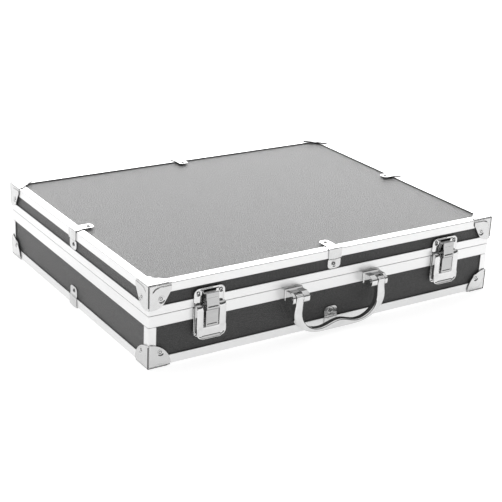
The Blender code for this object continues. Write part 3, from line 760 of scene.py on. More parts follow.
def moved(mesh: bpy.types.Mesh, *matrices: Matrix) -> bpy.types.Mesh:
    """Copies a mesh and places the copy.

    Args:
        mesh: The mesh to copy.
        matrices: Applied from the last to the first, as when multiplied.

    Returns:
        The placed copy.
    """
    copy = mesh.copy()
    whole = Matrix.Identity(4)
    for matrix in matrices:
        whole = whole @ matrix
    copy.transform(whole)
    if whole.determinant() < 0:
        copy.flip_normals()
    return copy


def baked(mesh: bpy.types.Mesh, *modifiers: tuple[str, dict[str, object]]) -> bpy.types.Mesh:
    """Runs modifiers on a mesh.

    Args:
        mesh: The mesh.
        modifiers: Each one's type and settings.

    Returns:
        The result as a new mesh.
    """
    obj = in_scene("baking", mesh)
    for kind, settings in modifiers:
        modifier = obj.modifiers.new(kind, kind)
        for key, value in settings.items():
            setattr(modifier, key, value)
    return evaluated(obj)


def carved(
    mesh: bpy.types.Mesh, *cutters: bpy.types.Mesh, operation: str = "DIFFERENCE"
) -> bpy.types.Mesh:
    """Cuts a closed mesh with others.

    Args:
        mesh: The mesh to cut.
        cutters: Closed meshes.
        operation: DIFFERENCE takes them away; INTERSECT keeps what is inside them.

    Returns:
        What is left.
    """
    for cutter in cutters:
        obj = in_scene("cutter", cutter)
        mesh = baked(mesh, ("BOOLEAN", {"object": obj, "operation": operation}))
        bpy.data.objects.remove(obj)
    return mesh


BEVEL = {"segments": 2, "limit_method": "ANGLE", "angle_limit": radians(60)}


def sheet_metal(mesh: bpy.types.Mesh, thickness: float, soften: float) -> bpy.types.Mesh:
    """Gives an open surface a thickness behind it, and softens its cut edges.

    Args:
        mesh: The outer surface, facing outwards.
        thickness: The sheet's thickness.
        soften: Radius of its cut edges.

    Returns:
        A closed mesh.
    """
    solidify = {"thickness": thickness, "offset": -1, "use_even_offset": False}
    return baked(mesh, ("SOLIDIFY", solidify), ("BEVEL", {**BEVEL, "width": soften}))


def pressed(
    outline: Sequence[Point], height: Callable[[np.ndarray, np.ndarray], np.ndarray],
    thickness: float, soften: float, holes: Sequence[Sequence[Point]] = (), pitch: float = 0.45 * MM,
) -> bpy.types.Mesh:
    """Makes a stamped sheet: a relief cut to an outline.

    Args:
        outline: The sheet's outline.
        height: Gives the outer face's height at X and Y.
        thickness: The sheet's thickness.
        soften: Radius of its cut edges.
        holes: Outlines of its holes.
        pitch: Spacing of the relief's points.

    Returns:
        A closed mesh that faces +Z.
    """
    low, high = np.min(outline, axis=0) - pitch, np.max(outline, axis=0) + pitch
    xs = np.linspace(low[0], high[0], int((high[0] - low[0]) / pitch))
    ys = np.linspace(low[1], high[1], int((high[1] - low[1]) / pitch))
    x, y = np.meshgrid(xs, ys, indexing="ij")
    z = height(x, y)
    surface = grid_mesh(np.stack([x, y, z], axis=-1))
    slab = baked(surface, ("SOLIDIFY", {"thickness": thickness, "offset": -1}))
    prism = plate(outline, float(z.min()) - 2 * thickness, float(z.max()) + thickness, 0, holes)
    return baked(carved(slab, prism, operation="INTERSECT"), ("BEVEL", {**BEVEL, "width": soften}))


def dense_path(corners: Sequence[Point], pitch: float) -> np.ndarray:
    """Adds points along an open path, so that none are further apart than a pitch.

    Args:
        corners: The path.
        pitch: The largest spacing.

    Returns:
        The points.
    """
    points = np.array(corners)
    dense = [points[0]]
    for a, b in zip(points, points[1:]):
        count = max(1, int(np.linalg.norm(b - a) / pitch))
        dense.extend(a + (b - a) * (k + 1) / count for k in range(count))
    return np.array(dense)


def run_along(path: np.ndarray) -> np.ndarray:
    """Gives each point's distance along a path."""
    return np.concatenate([[0], np.cumsum(np.linalg.norm(np.diff(path, axis=0), axis=1))])


def swept_sheet(
    path: np.ndarray, across: np.ndarray, relief: np.ndarray, thickness: float, soften: float
) -> bpy.types.Mesh:
    """Makes a bent strip from the path of its outer face.

    Args:
        path: Points of its outer face as (outwards, up), from the top down the front.
        across: Each point's distance from the middle, in rows along the path.
        relief: How far each point stands out of the path.
        thickness: The sheet's thickness.
        soften: Radius of its cut edges.

    Returns:
        A closed mesh in a side's frame.
    """
    tangent = np.gradient(path, axis=0)
    tangent /= np.linalg.norm(tangent, axis=1, keepdims=True)
    normal = np.stack([-tangent[:, 1], tangent[:, 0]], axis=-1)
    out = path[:, 0][:, None] + normal[:, 0][:, None] * relief
    up = path[:, 1][:, None] + normal[:, 1][:, None] * relief
    surface = grid_mesh(np.stack([across, up, out], axis=-1))
    return sheet_metal(surface, thickness, soften)


def smooth_step(x: np.ndarray | float, low: float, high: float) -> np.ndarray:
    """Rises smoothly from 0 at low to 1 at high.

    Args:
        x: Where.
        low: Start of the rise.
        high: End of the rise.

    Returns:
        The share, from 0 to 1.
    """
    t = np.clip((np.asarray(x, float) - low) / (high - low), 0, 1)
    return t * t * (3 - 2 * t)


def depth_inside(x: np.ndarray, y: np.ndarray, low: Vector, high: Vector) -> np.ndarray:
    """Gives how far places are inside a box's four sides."""
    return np.minimum.reduce([x - low.x, high.x - x, y - low.y, high.y - y])


def block(
    surface: Callable[[np.ndarray, np.ndarray], np.ndarray], flat: float,
    xs: np.ndarray, ys: np.ndarray,
) -> bpy.types.Mesh:
    """Makes a block with one shaped face and a flat one.

    Args:
        surface: Height of the shaped face at X and Y.
        flat: Height of the flat face.
        xs: The grid's places along X.
        ys: The grid's places along Y.

    Returns:
        A closed mesh.
    """
    x, y = np.meshgrid(xs, ys, indexing="ij")
    shaped = np.stack([x, y, surface(x, y)], axis=-1)
    plain = np.stack([x, y, np.full_like(x, flat)], axis=-1)
    rims = (np.s_[0], np.s_[-1], np.s_[:, 0], np.s_[:, -1])
    skirts = [grid_mesh(np.stack([shaped[rim], plain[rim]])) for rim in rims]
    return outward(merged([grid_mesh(shaped), grid_mesh(plain), *skirts], weld=1e-6))


def show(
    name: str, mesh: bpy.types.Mesh, finish: Finish, body: str,
    replaces: Sequence[str] = (), crease: float = 38.0,
) -> bpy.types.Object:
    """Makes a piece of a finished mesh, and ties it to the frame.

    Args:
        name: The piece's name.
        mesh: Its mesh, in place.
        finish: Its finish.
        body: The CAD body that it rides on.
        replaces: The CAD nodes that it stands for.
        crease: Edges sharper than this, in degrees, stay sharp.

    Returns:
        The piece.
    """
    mesh.materials.clear()
    mesh.materials.append(finish.material())
    mesh.shade_smooth()
    mesh.set_sharp_from_angle(angle=radians(crease))
    obj = in_scene(name, mesh)
    normals = obj.modifiers.new("even_normals", "WEIGHTED_NORMAL")
    normals.keep_sharp = True
    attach(obj, body)
    if replaces:
        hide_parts(*replaces)
    LOG.info("%s: %d faces, %s, on %s", name, len(mesh.polygons), finish.name, body)
    return obj


def refinish(node: str, finish: Finish) -> None:
    """Gives a CAD node that stays its finish.

    Args:
        node: The node's name.
        finish: The finish.
    """
    obj = FRAME["nodes"][node]
    obj.data.materials.clear()
    obj.data.materials.append(finish.material())
    LOG.info("%s: kept from CAD, %s", node, finish.name)


# ---------------------------------------------------------------- places


@dataclass(frozen=True)
class Shell:
    """Where the case's main surfaces are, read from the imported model."""

    half_x: float
    half_y: float
    bottom: float
    top: float
    seam: float
    cap_proud: float

    @classmethod
    def from_frame(cls) -> Shell:
        """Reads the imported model."""
        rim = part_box("lid_rim")[1]
        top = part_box("lid_edge_front")[1].z
        return cls(
            half_x=rim.x,
            half_y=rim.y,
            bottom=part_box("base_edge_front")[0].z,
            top=top,
            seam=JOINTS["lid_hinge"]["pos_m"][2],
            cap_proud=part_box("lid_cap_front_left")[1].z - top,
        )

    def side(self, side: Side) -> Matrix:
        """Gives a side's frame: X along it, Y up from the ground, Z outwards from its face.

        Args:
            side: The side.

        Returns:
            The frame as a matrix.
        """
        turn = Matrix.Rotation(list(Side).index(side) * pi / 2, 4, "Z")
        reach = self.half_y if side.along_x else self.half_x
        return turn @ at(0, -reach) @ Matrix.Rotation(pi / 2, 4, "X")

    def front_box(self, node: str) -> tuple[Place, Place]:
        """Gives a node's box in the front's frame.

        Args:
            node: The node's name.

        Returns:
            The box's low and high corners.
        """
        low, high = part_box(node)
        near, far = -high.y - self.half_y, -low.y - self.half_y
        return Place(low.x, low.z, near), Place(high.x, high.z, far)

    def front_joint(self, joint: str) -> Place:
        """Gives a joint's place in the front's frame."""
        x, y, z = JOINTS[joint]["pos_m"]
        return Place(x, z, -y - self.half_y)

    def edge(self, half: Half) -> Matrix:
        """Gives the way up a side to a half's outer edge, with Y pointing off the case.

        Args:
            half: Lid or base.

        Returns:
            The move, which the base's mirrors.
        """
        if half is Half.LID:
            return at(0, self.top)
        return at(0, self.bottom) @ Matrix.Scale(-1, 4, (0, 1, 0))

    def ring(self, profile: Sequence[Point], radius: float, steps: int = 5) -> bpy.types.Mesh:
        """Sweeps a closed profile round the shell.

        Args:
            profile: Pairs of depth behind the outer face and height.
            radius: The outer face's radius at the shell's corners.
            steps: How many pieces each rounded corner has.

        Returns:
            A closed mesh.
        """
        depths = np.array([p[0] for p in profile])
        heights = np.array([p[1] for p in profile])
        inner_radius = np.maximum(radius - depths, 0.05 * MM)
        rows = []
        for i, (sx, sy) in enumerate(((1, 1), (-1, 1), (-1, -1), (1, -1))):
            for k in range(steps + 1):
                angle = pi / 2 * (i + k / steps)
                x = sx * (self.half_x - depths - inner_radius) + inner_radius * cos(angle)
                y = sy * (self.half_y - depths - inner_radius) + inner_radius * sin(angle)
                rows.append(np.stack([x, y, heights], axis=-1))
        rows.append(rows[0])
        return outward(merged([grid_mesh(np.array(rows), closed=True)], weld=1e-6))


# ---------------------------------------------------------------- boards, edging and rims


@dataclass
class BoardsAndEdging:
    """The black boards, the L-shaped edge profiles and posts, and the two rims."""

    shell: Shell
    corner_radius: float = 1.1 * MM
    tip_radius: float = 0.32 * MM
    bead: float = 0.35 * MM
    rim_corner: float = 2.0 * MM
    wall: float = 1.0 * MM
    cut_edge: float = 0.05 * MM
    groove: tuple[float, float, float] = (2.1 * MM, 4.7 * MM, 2.0 * MM)
    tongue: Point = (2.7 * MM, 4.1 * MM)

    def boards(self) -> None:
        """Dresses the boards that the CAD model already has."""
        for half in Half:
            for side in Side:
                refinish(f"{half.value}_wall_{side.value}", LAMINATE)
        refinish("lid_top_panel", LAMINATE)
        refinish("base_bottom_panel", LAMINATE)

    def angle_profile(self, leg: float, wall: float, other: float) -> list[Point]:
        """Draws an L with its outer corner at the origin and both legs towards the minus side.

        Args:
            leg: Length of the leg down the side.
            wall: Thickness of the metal.
            other: Length of the leg across the top.

        Returns:
            The outline as (outwards, up).
        """
        tip = self.tip_radius
        step = self.bead
        return fillet(
            [
                (0, 0, self.corner_radius),
                (0, step - leg + 4 * step, 0),
                (step / 3, step - leg + 3 * step, 0),
                (step / 3, -leg, tip),
                (-wall, -leg, tip),
                (-wall, -wall, tip),
                (-other, -wall, tip),
                (-other, step / 3, tip),
                (3 * step - other, step / 3, 0),
                (4 * step - other, 0, 0),
            ]
        )

    def edges(self) -> None:
        """Builds the eight edge profiles."""
        for half in Half:
            for side in Side:
                node = f"{half.value}_edge_{side.value}"
                low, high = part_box(node)
                size = high - low
                along = (size.x if side.along_x else size.y) / 2
                outline = self.angle_profile(size.z, self.wall, size.z)
                mesh = cross_plate(outline, -along, along, self.cut_edge)
                placed = moved(mesh, self.shell.side(side), self.shell.edge(half))
                finish = ALUMINIUM_X if side.along_x else ALUMINIUM_Y
                show(f"{node}_profile", placed, finish, half.value, [node])

    def posts(self) -> None:
        """Builds the four upright corner profiles of the base."""
        for corner in Corner:
            name, sx, sy = corner.value
            node = f"base_post_{name}"
            low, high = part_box(node)
            leg = high.x - low.x
            outline = [(-sx * x, -sy * y) for x, y in self.angle_profile(leg, self.wall, leg)]
            mesh = plate(outline, low.z, high.z, self.cut_edge)
            place = at(-sx * self.shell.half_x, -sy * self.shell.half_y)
            show(f"{node}_profile", moved(mesh, place), ALUMINIUM_Z, Half.BASE.value, [node])

    def rims(self) -> None:
        """Builds the two mouth frames, the base's with a groove and the lid's with a tongue."""
        low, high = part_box("base_rim")
        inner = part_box("base_lining")[1].x
        depth = self.shell.half_x - inner + 1.0 * MM
        wall, tip = self.wall, self.tip_radius
        groove_out, groove_in, groove = self.groove
        floor = high.z - groove - wall
        base = [
            (0, high.z, 0.3 * MM), (groove_out, high.z, tip), (groove_out, high.z - groove, tip),
            (groove_in, high.z - groove, tip), (groove_in, high.z, tip), (depth, high.z, 0.5 * MM),
            (depth, low.z, tip), (depth - wall, low.z, tip), (depth - wall, floor, tip),
            (wall, floor, tip), (wall, low.z, tip), (-self.bead / 3, low.z, tip),
            (-self.bead / 3, low.z + 3 * self.bead, 0), (0, low.z + 4 * self.bead, 0),
        ]
        show("base_rim_profile", self.shell.ring(fillet(base, 3), self.rim_corner), ALUMINIUM_RIM,
             Half.BASE.value, ["base_rim"])
        low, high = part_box("lid_rim")
        bottom = 2 * self.shell.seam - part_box("base_rim")[1].z
        tongue_out, tongue_in = self.tongue
        floor = bottom + 1.5 * wall
        lid = [
            (0, bottom, 0.3 * MM), (0, high.z - 4 * self.bead, 0),
            (-self.bead / 3, high.z - 3 * self.bead, 0), (-self.bead / 3, high.z, tip),
            (wall, high.z, tip), (wall, floor, tip), (depth - wall, floor, tip),
            (depth - wall, high.z, tip), (depth, high.z, tip), (depth, bottom, 0.5 * MM),
            (tongue_in, bottom, tip), (tongue_in, low.z, 0.5 * MM), (tongue_out, low.z, 0.5 * MM),
            (tongue_out, bottom, tip),
        ]
        show("lid_rim_profile", self.shell.ring(fillet(lid, 3), self.rim_corner), ALUMINIUM_RIM,
             Half.LID.value, ["lid_rim"])

    def build(self) -> None:
        """Builds and dresses everything in this sub-assembly."""
        self.boards()
        self.edges()
        self.posts()
        self.rims()


# ---------------------------------------------------------------- rivets


@dataclass(frozen=True)
class Rivet:
    """A tubular rivet: a low domed head with a small turned-in middle."""

    radius: float = 2.3 * MM
    height: float = 0.75 * MM
    eye: float = 1.15 * MM
    root: float = 0.8 * MM

    def mesh(self) -> bpy.types.Mesh:
        """Makes a rivet that stands on Z = 0."""
        steps = 6
        dome = [
            (self.eye + (self.radius - self.eye) * sin(pi / 2 * i / steps),
             self.height * cos(pi / 2 * i / steps))
            for i in range(steps + 1)
        ]
        eye = [(0, -0.6 * self.height), (0.85 * self.eye, -0.5 * self.height),
               (0.92 * self.eye, 0.75 * self.height)]
        return turned([*eye, *dome, (self.radius, -self.root), (0, -self.root)], 24)

    def placed(
        self, spots: Iterable[tuple[Vector, Vector]], place: Matrix = Matrix.Identity(4)
    ) -> bpy.types.Mesh:
        """Puts a rivet at each spot.

        Args:
            spots: Pairs of a point on the sheet and the way out of it.
            place: The frame that the spots are in.

        Returns:
            One mesh with all the rivets.
        """
        pattern = self.mesh()
        copies = []
        for centre, outwards in spots:
            way = place.to_3x3() @ Vector(outwards)
            turn = way.to_track_quat("Z", "Y").to_matrix().to_4x4()
            copies.append(moved(pattern, Matrix.Translation(place @ centre) @ turn))
        return merged(copies)


# ---------------------------------------------------------------- corner caps


@dataclass
class CornerCaps:
    """Eight stamped corner caps, each of three legs with a raised face and dished rivet holes."""

    shell: Shell
    sheet: float = 0.8 * MM
    fold: float = 0.5 * MM
    rise: float = 0.75 * MM
    groove: float = 0.55 * MM
    groove_at: float = 1.25 * MM
    seam_at: float = 0.75 * MM
    seam_wide: float = 0.9 * MM
    border: float = 3.2 * MM
    lobe: float = 3.4 * MM
    across: float = 26.5 * MM
    drop: float = 28.0 * MM
    dish_radius: float = 4.6 * MM
    dish_depth: float = 0.95 * MM
    dish_flat: float = 0.62
    lobe_spread: float = 5.0 * MM
    groove_half: float = 0.55 * MM
    soften: float = 0.15 * MM
    side_rivet: Point = (15.0 * MM, 17.0 * MM)
    flat_rivet: Point = (13.6 * MM, 13.6 * MM)

    def side_outline(self, half: Half) -> tuple[list[float], list[float]]:
        """Draws the free edge of a leg on a side.

        Args:
            half: The lid's caps are fuller than the base's.

        Returns:
            Distances across from the corner, and the leg's length there.
        """
        if half is Half.LID:
            return (
                [0, 6 * MM, 10.5 * MM, 14 * MM, 17 * MM, 20.5 * MM, 25 * MM, self.across],
                [self.drop, 27.8 * MM, 26.9 * MM, 25.3 * MM, 22.8 * MM, 17.6 * MM, 10 * MM, 8 * MM],
            )
        angles = np.radians(np.linspace(90, 10, 14))
        return (
            (self.across * np.cos(angles) / cos(radians(10))).tolist(),
            (26.5 * MM * np.sin(angles)).tolist(),
        )

    def flat_outline(self) -> tuple[list[float], list[float]]:
        """Draws the free edge of the leg on the top or the bottom, in the same way."""
        return (
            [0, 5.0 * MM, 6.5 * MM, 18.2 * MM, 25.0 * MM, self.across],
            [self.across, self.across, 25.4 * MM, 13.2 * MM, 6.8 * MM, 5.6 * MM],
        )

    def spacing(self) -> np.ndarray:
        """Gives the grid's lines as shares of a leg, closest at the fold."""
        near = np.array([0, 0.3, 0.6, 0.9, 1.15, 1.4, 1.7, 2.0, 2.25, 2.6]) * MM / self.across
        return np.concatenate([near, np.linspace(3.1 * MM / self.across, 1, 44)])

    def relief(self, u: np.ndarray, v: np.ndarray, rivet: Point) -> np.ndarray:
        """Gives how far the face stands out of the level of the folds.

        Args:
            u: Distance from one fold.
            v: Distance from the other.
            rivet: Where the rivet is.

        Returns:
            The height.
        """
        near = np.minimum(u, v)
        rounded = near - self.lobe * np.exp(-np.abs(u - v) / self.lobe_spread)
        height = self.rise * smooth_step(rounded, self.border - 0.5 * MM, self.border + 0.4 * MM)
        away = np.hypot(u - rivet[0], v - rivet[1])
        dish = 1 - smooth_step(away, self.dish_flat * self.dish_radius, self.dish_radius)
        cut = np.clip(1 - np.abs(near - self.groove_at) / self.groove_half, 0, 1)
        return height - (self.dish_depth - 0.1 * MM) * dish - self.groove * smooth_step(cut, 0, 0.7)

    def leg(
        self, axes: tuple[int, int, int], outline: tuple[list[float], list[float]], rivet: Point,
    ) -> np.ndarray:
        """Computes a leg's points as distances inwards from the corner's three planes.

        Args:
            axes: The axis across, the axis along and the face's axis, as 0 to 2.
            outline: The leg's free edge.
            rivet: Where its rivet is.

        Returns:
            An array of rows, columns and 3.
        """
        shares = self.spacing()
        u = self.across * shares
        length = np.interp(u, *outline)
        grid_u = np.repeat(u[:, None], len(shares), axis=1)
        grid_v = length[:, None] * shares[None, :]
        points = np.zeros((*grid_u.shape, 3))
        start = self.rise
        points[..., axes[0]] = start + grid_u * (1 - start / self.across)
        points[..., axes[1]] = start + grid_v * (1 - start / self.drop)
        points[..., axes[2]] = start
        inner = np.maximum(points, start + self.fold)
        arm = points - inner
        size = np.linalg.norm(arm, axis=-1, keepdims=True)
        points = inner + self.fold * arm / np.maximum(size, 1e-9)
        points[..., axes[2]] -= self.relief(grid_u, grid_v, rivet)
        return points

    def cap(self, half: Half, corner: Corner) -> None:
        """Builds one cap with its rivets.

        Args:
            half: Lid or base.
            corner: Which corner.
        """
        name, sx, sy = corner.value
        node = f"{half.value}_cap_{name}"
        sz = -1 if half is Half.LID else 1
        signs = np.array([sx, sy, sz])
        level = self.shell.top if half is Half.LID else self.shell.bottom
        outer = np.array([-sx * self.shell.half_x, -sy * self.shell.half_y, level])
        origin = outer - signs * self.shell.cap_proud
        side = self.side_outline(half)
        legs = [
            ((0, 2, 1), side, self.side_rivet, True),
            ((1, 2, 0), side, self.side_rivet, False),
            ((0, 1, 2), self.flat_outline(), self.flat_rivet, False),
        ]
        mirrored = sx * sy * sz < 0
        meshes, spots = [], []
        for axes, outline, rivet, turned_over in legs:
            points = self.leg(axes, outline, rivet)
            meshes.append(grid_mesh(origin + signs * points, flip=mirrored == turned_over))
            centre = np.zeros(3)
            centre[axes[0]], centre[axes[1]] = rivet
            centre[axes[2]] = self.rise + self.dish_depth - 0.3 * MM
            outwards = np.zeros(3)
            outwards[axes[2]] = -1
            spots.append((Vector(origin + signs * centre), Vector(signs * outwards)))
        pressing = sheet_metal(merged(meshes, weld=0.02 * MM), self.sheet, self.soften)
        show(f"{node}_pressing", pressing, CAP_STEEL, half.value, [node])
        # The seam bars are painted shade: dark strips in the fold grooves where there is only shadow.
        show(f"{node}_seams", self.seam_shade_bars(origin, signs), SEAM_SHADE_STEEL, half.value)
        show(f"{node}_rivets", Rivet().placed(spots), RIVET_STEEL_PAINTED_SHADE, half.value)

    def seam_shade_bars(self, origin: np.ndarray, signs: np.ndarray) -> bpy.types.Mesh:
        """Builds bars of painted shade in the grooves where the leg on the front or the back meets the
        other two.

        Args:
            origin: The cap's corner.
            signs: The way into the case along each axis.

        Returns:
            One mesh with both bars of painted shade.
        """
        low, level, deep = self.seam_at, self.rise - 0.02 * MM, self.rise + 0.5 * MM
        bars = []
        for start, end in (
            ((low, level, 1.2 * MM), (low + self.seam_wide, deep, self.across - 1.5 * MM)),
            ((1.2 * MM, level, low), (self.across - 3 * MM, deep, low + 0.8 * self.seam_wide)),
        ):
            a, b = origin + signs * np.array(start), origin + signs * np.array(end)
            (x0, y0, z0), (x1, y1, z1) = np.minimum(a, b).tolist(), np.maximum(a, b).tolist()
            bars.append(plate([(x0, y0), (x1, y0), (x1, y1), (x0, y1)], z0, z1, 0.08 * MM))
        return merged(bars)

    def build(self) -> None:
        """Builds all the caps."""
        for half in Half:
            for corner in Corner:
                self.cap(half, corner)


# ---------------------------------------------------------------- edge clamps


@dataclass
class EdgeClamps:
    """Eight pressed straps that hold the edge profiles in the middle of each side."""

    shell: Shell
    sheet: float = 1.0 * MM
    fold: float = 1.3 * MM
    half_wide: float = 8.3 * MM
    half_narrow: float = 5.9 * MM
    half_tip: float = 3.4 * MM
    foot_radius: float = 4.5 * MM
    rib: float = 0.3 * MM
    step: float = 1.3 * MM
    rivet_from_tip: float = 5.2 * MM
    joggle: Point = (10.6 * MM, 12.2 * MM)
    joggle_radius: float = 1.2 * MM
    dish_depth: float = 0.55 * MM
    dish_radii: Point = (2.4 * MM, 4.2 * MM)

    def path(self, flat: float, drop: float, proud: float) -> np.ndarray:
        """Draws the strap's outer surface from the tip of its flat leg to the tip of the other.

        Args:
            flat: Reach of the leg on the top.
            drop: Reach of the leg down the side.
            proud: How far the strap stands out of the shell.

        Returns:
            Points as (outwards, up), close together.
        """
        low = proud - self.step
        corners = [
            (-flat, proud, 0), (proud, proud, self.fold),
            (proud, -self.joggle[0], self.joggle_radius), (low, -self.joggle[1], self.joggle_radius),
            (low, -drop, 0),
        ]
        return dense_path(fillet(corners, 6), 0.8 * MM)

    def width(self, run: np.ndarray, fold_at: float) -> np.ndarray:
        """Gives the strap's half width along its path.

        Args:
            run: Distance along the path.
            fold_at: Where the fold is.

        Returns:
            The half widths.
        """
        waist = self.half_wide - (self.half_wide - self.half_narrow) * smooth_step(
            fold_at - run, 3 * MM, 11 * MM
        )
        slope = (self.half_narrow - self.half_tip) / (2.4 * MM)
        foot = np.clip(1 - (run[-1] - run) / self.foot_radius, 0, 1)
        rounded = self.half_wide - self.foot_radius * (1 - np.sqrt(1 - foot**2))
        return np.minimum.reduce([waist, self.half_tip + slope * run, rounded])

    def strap(self, flat: float, drop: float, proud: float) -> tuple[bpy.types.Mesh, list]:
        """Builds the strap in a side's frame, with Y 0 at the shell's top.

        Args:
            flat: Reach of the leg on the top.
            drop: Reach of the leg down the side.
            proud: How far it stands out of the shell.

        Returns:
            Its mesh, and the spots for its two rivets.
        """
        path = self.path(flat, drop, proud)
        run = run_along(path)
        fold_at = flat + proud
        columns = np.linspace(-1, 1, 25)
        across = self.width(run, fold_at)[:, None] * columns[None, :]
        along = np.repeat(run[:, None], len(columns), axis=1)
        rivets = (self.rivet_from_tip, run[-1] - self.rivet_from_tip)
        rib = smooth_step(4.4 * MM - np.abs(across), 0, 1.2 * MM) * (
            smooth_step(np.minimum(along - rivets[0], rivets[1] - along), 3.5 * MM, 5.5 * MM)
        )
        height = self.rib * rib
        for spot in rivets:
            away = np.hypot(across, along - spot)
            height -= self.dish_depth * (1 - smooth_step(away, *self.dish_radii))
        level = proud - self.rib - 0.45 * MM
        spots = [
            (Vector((0, level, self.rivet_from_tip - flat)), Vector((0, 1, 0))),
            (Vector((0, self.rivet_from_tip - drop, level - self.step)), Vector((0, 0, 1))),
        ]
        mesh = swept_sheet(path, across, height - self.rib, self.sheet, 0.15 * MM)
        return mesh, spots

    def build(self) -> None:
        """Builds all the clamps."""
        for half in Half:
            for side in Side:
                node = f"{half.value}_clamp_{side.value}"
                low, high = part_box(node)
                proud = self.shell.cap_proud
                size = high - low
                flat = (size.y if side.along_x else size.x) - proud
                mesh, spots = self.strap(flat, size.z - proud, proud)
                place = self.shell.side(side) @ self.shell.edge(half)
                show(f"{node}_strap", moved(mesh, place), CAP_STEEL, half.value, [node])
                rivets = Rivet(radius=2.1 * MM).placed(spots, place)
                show(f"{node}_rivets", rivets, RIVET_STEEL_PAINTED_SHADE, half.value)


# ---------------------------------------------------------------- latches


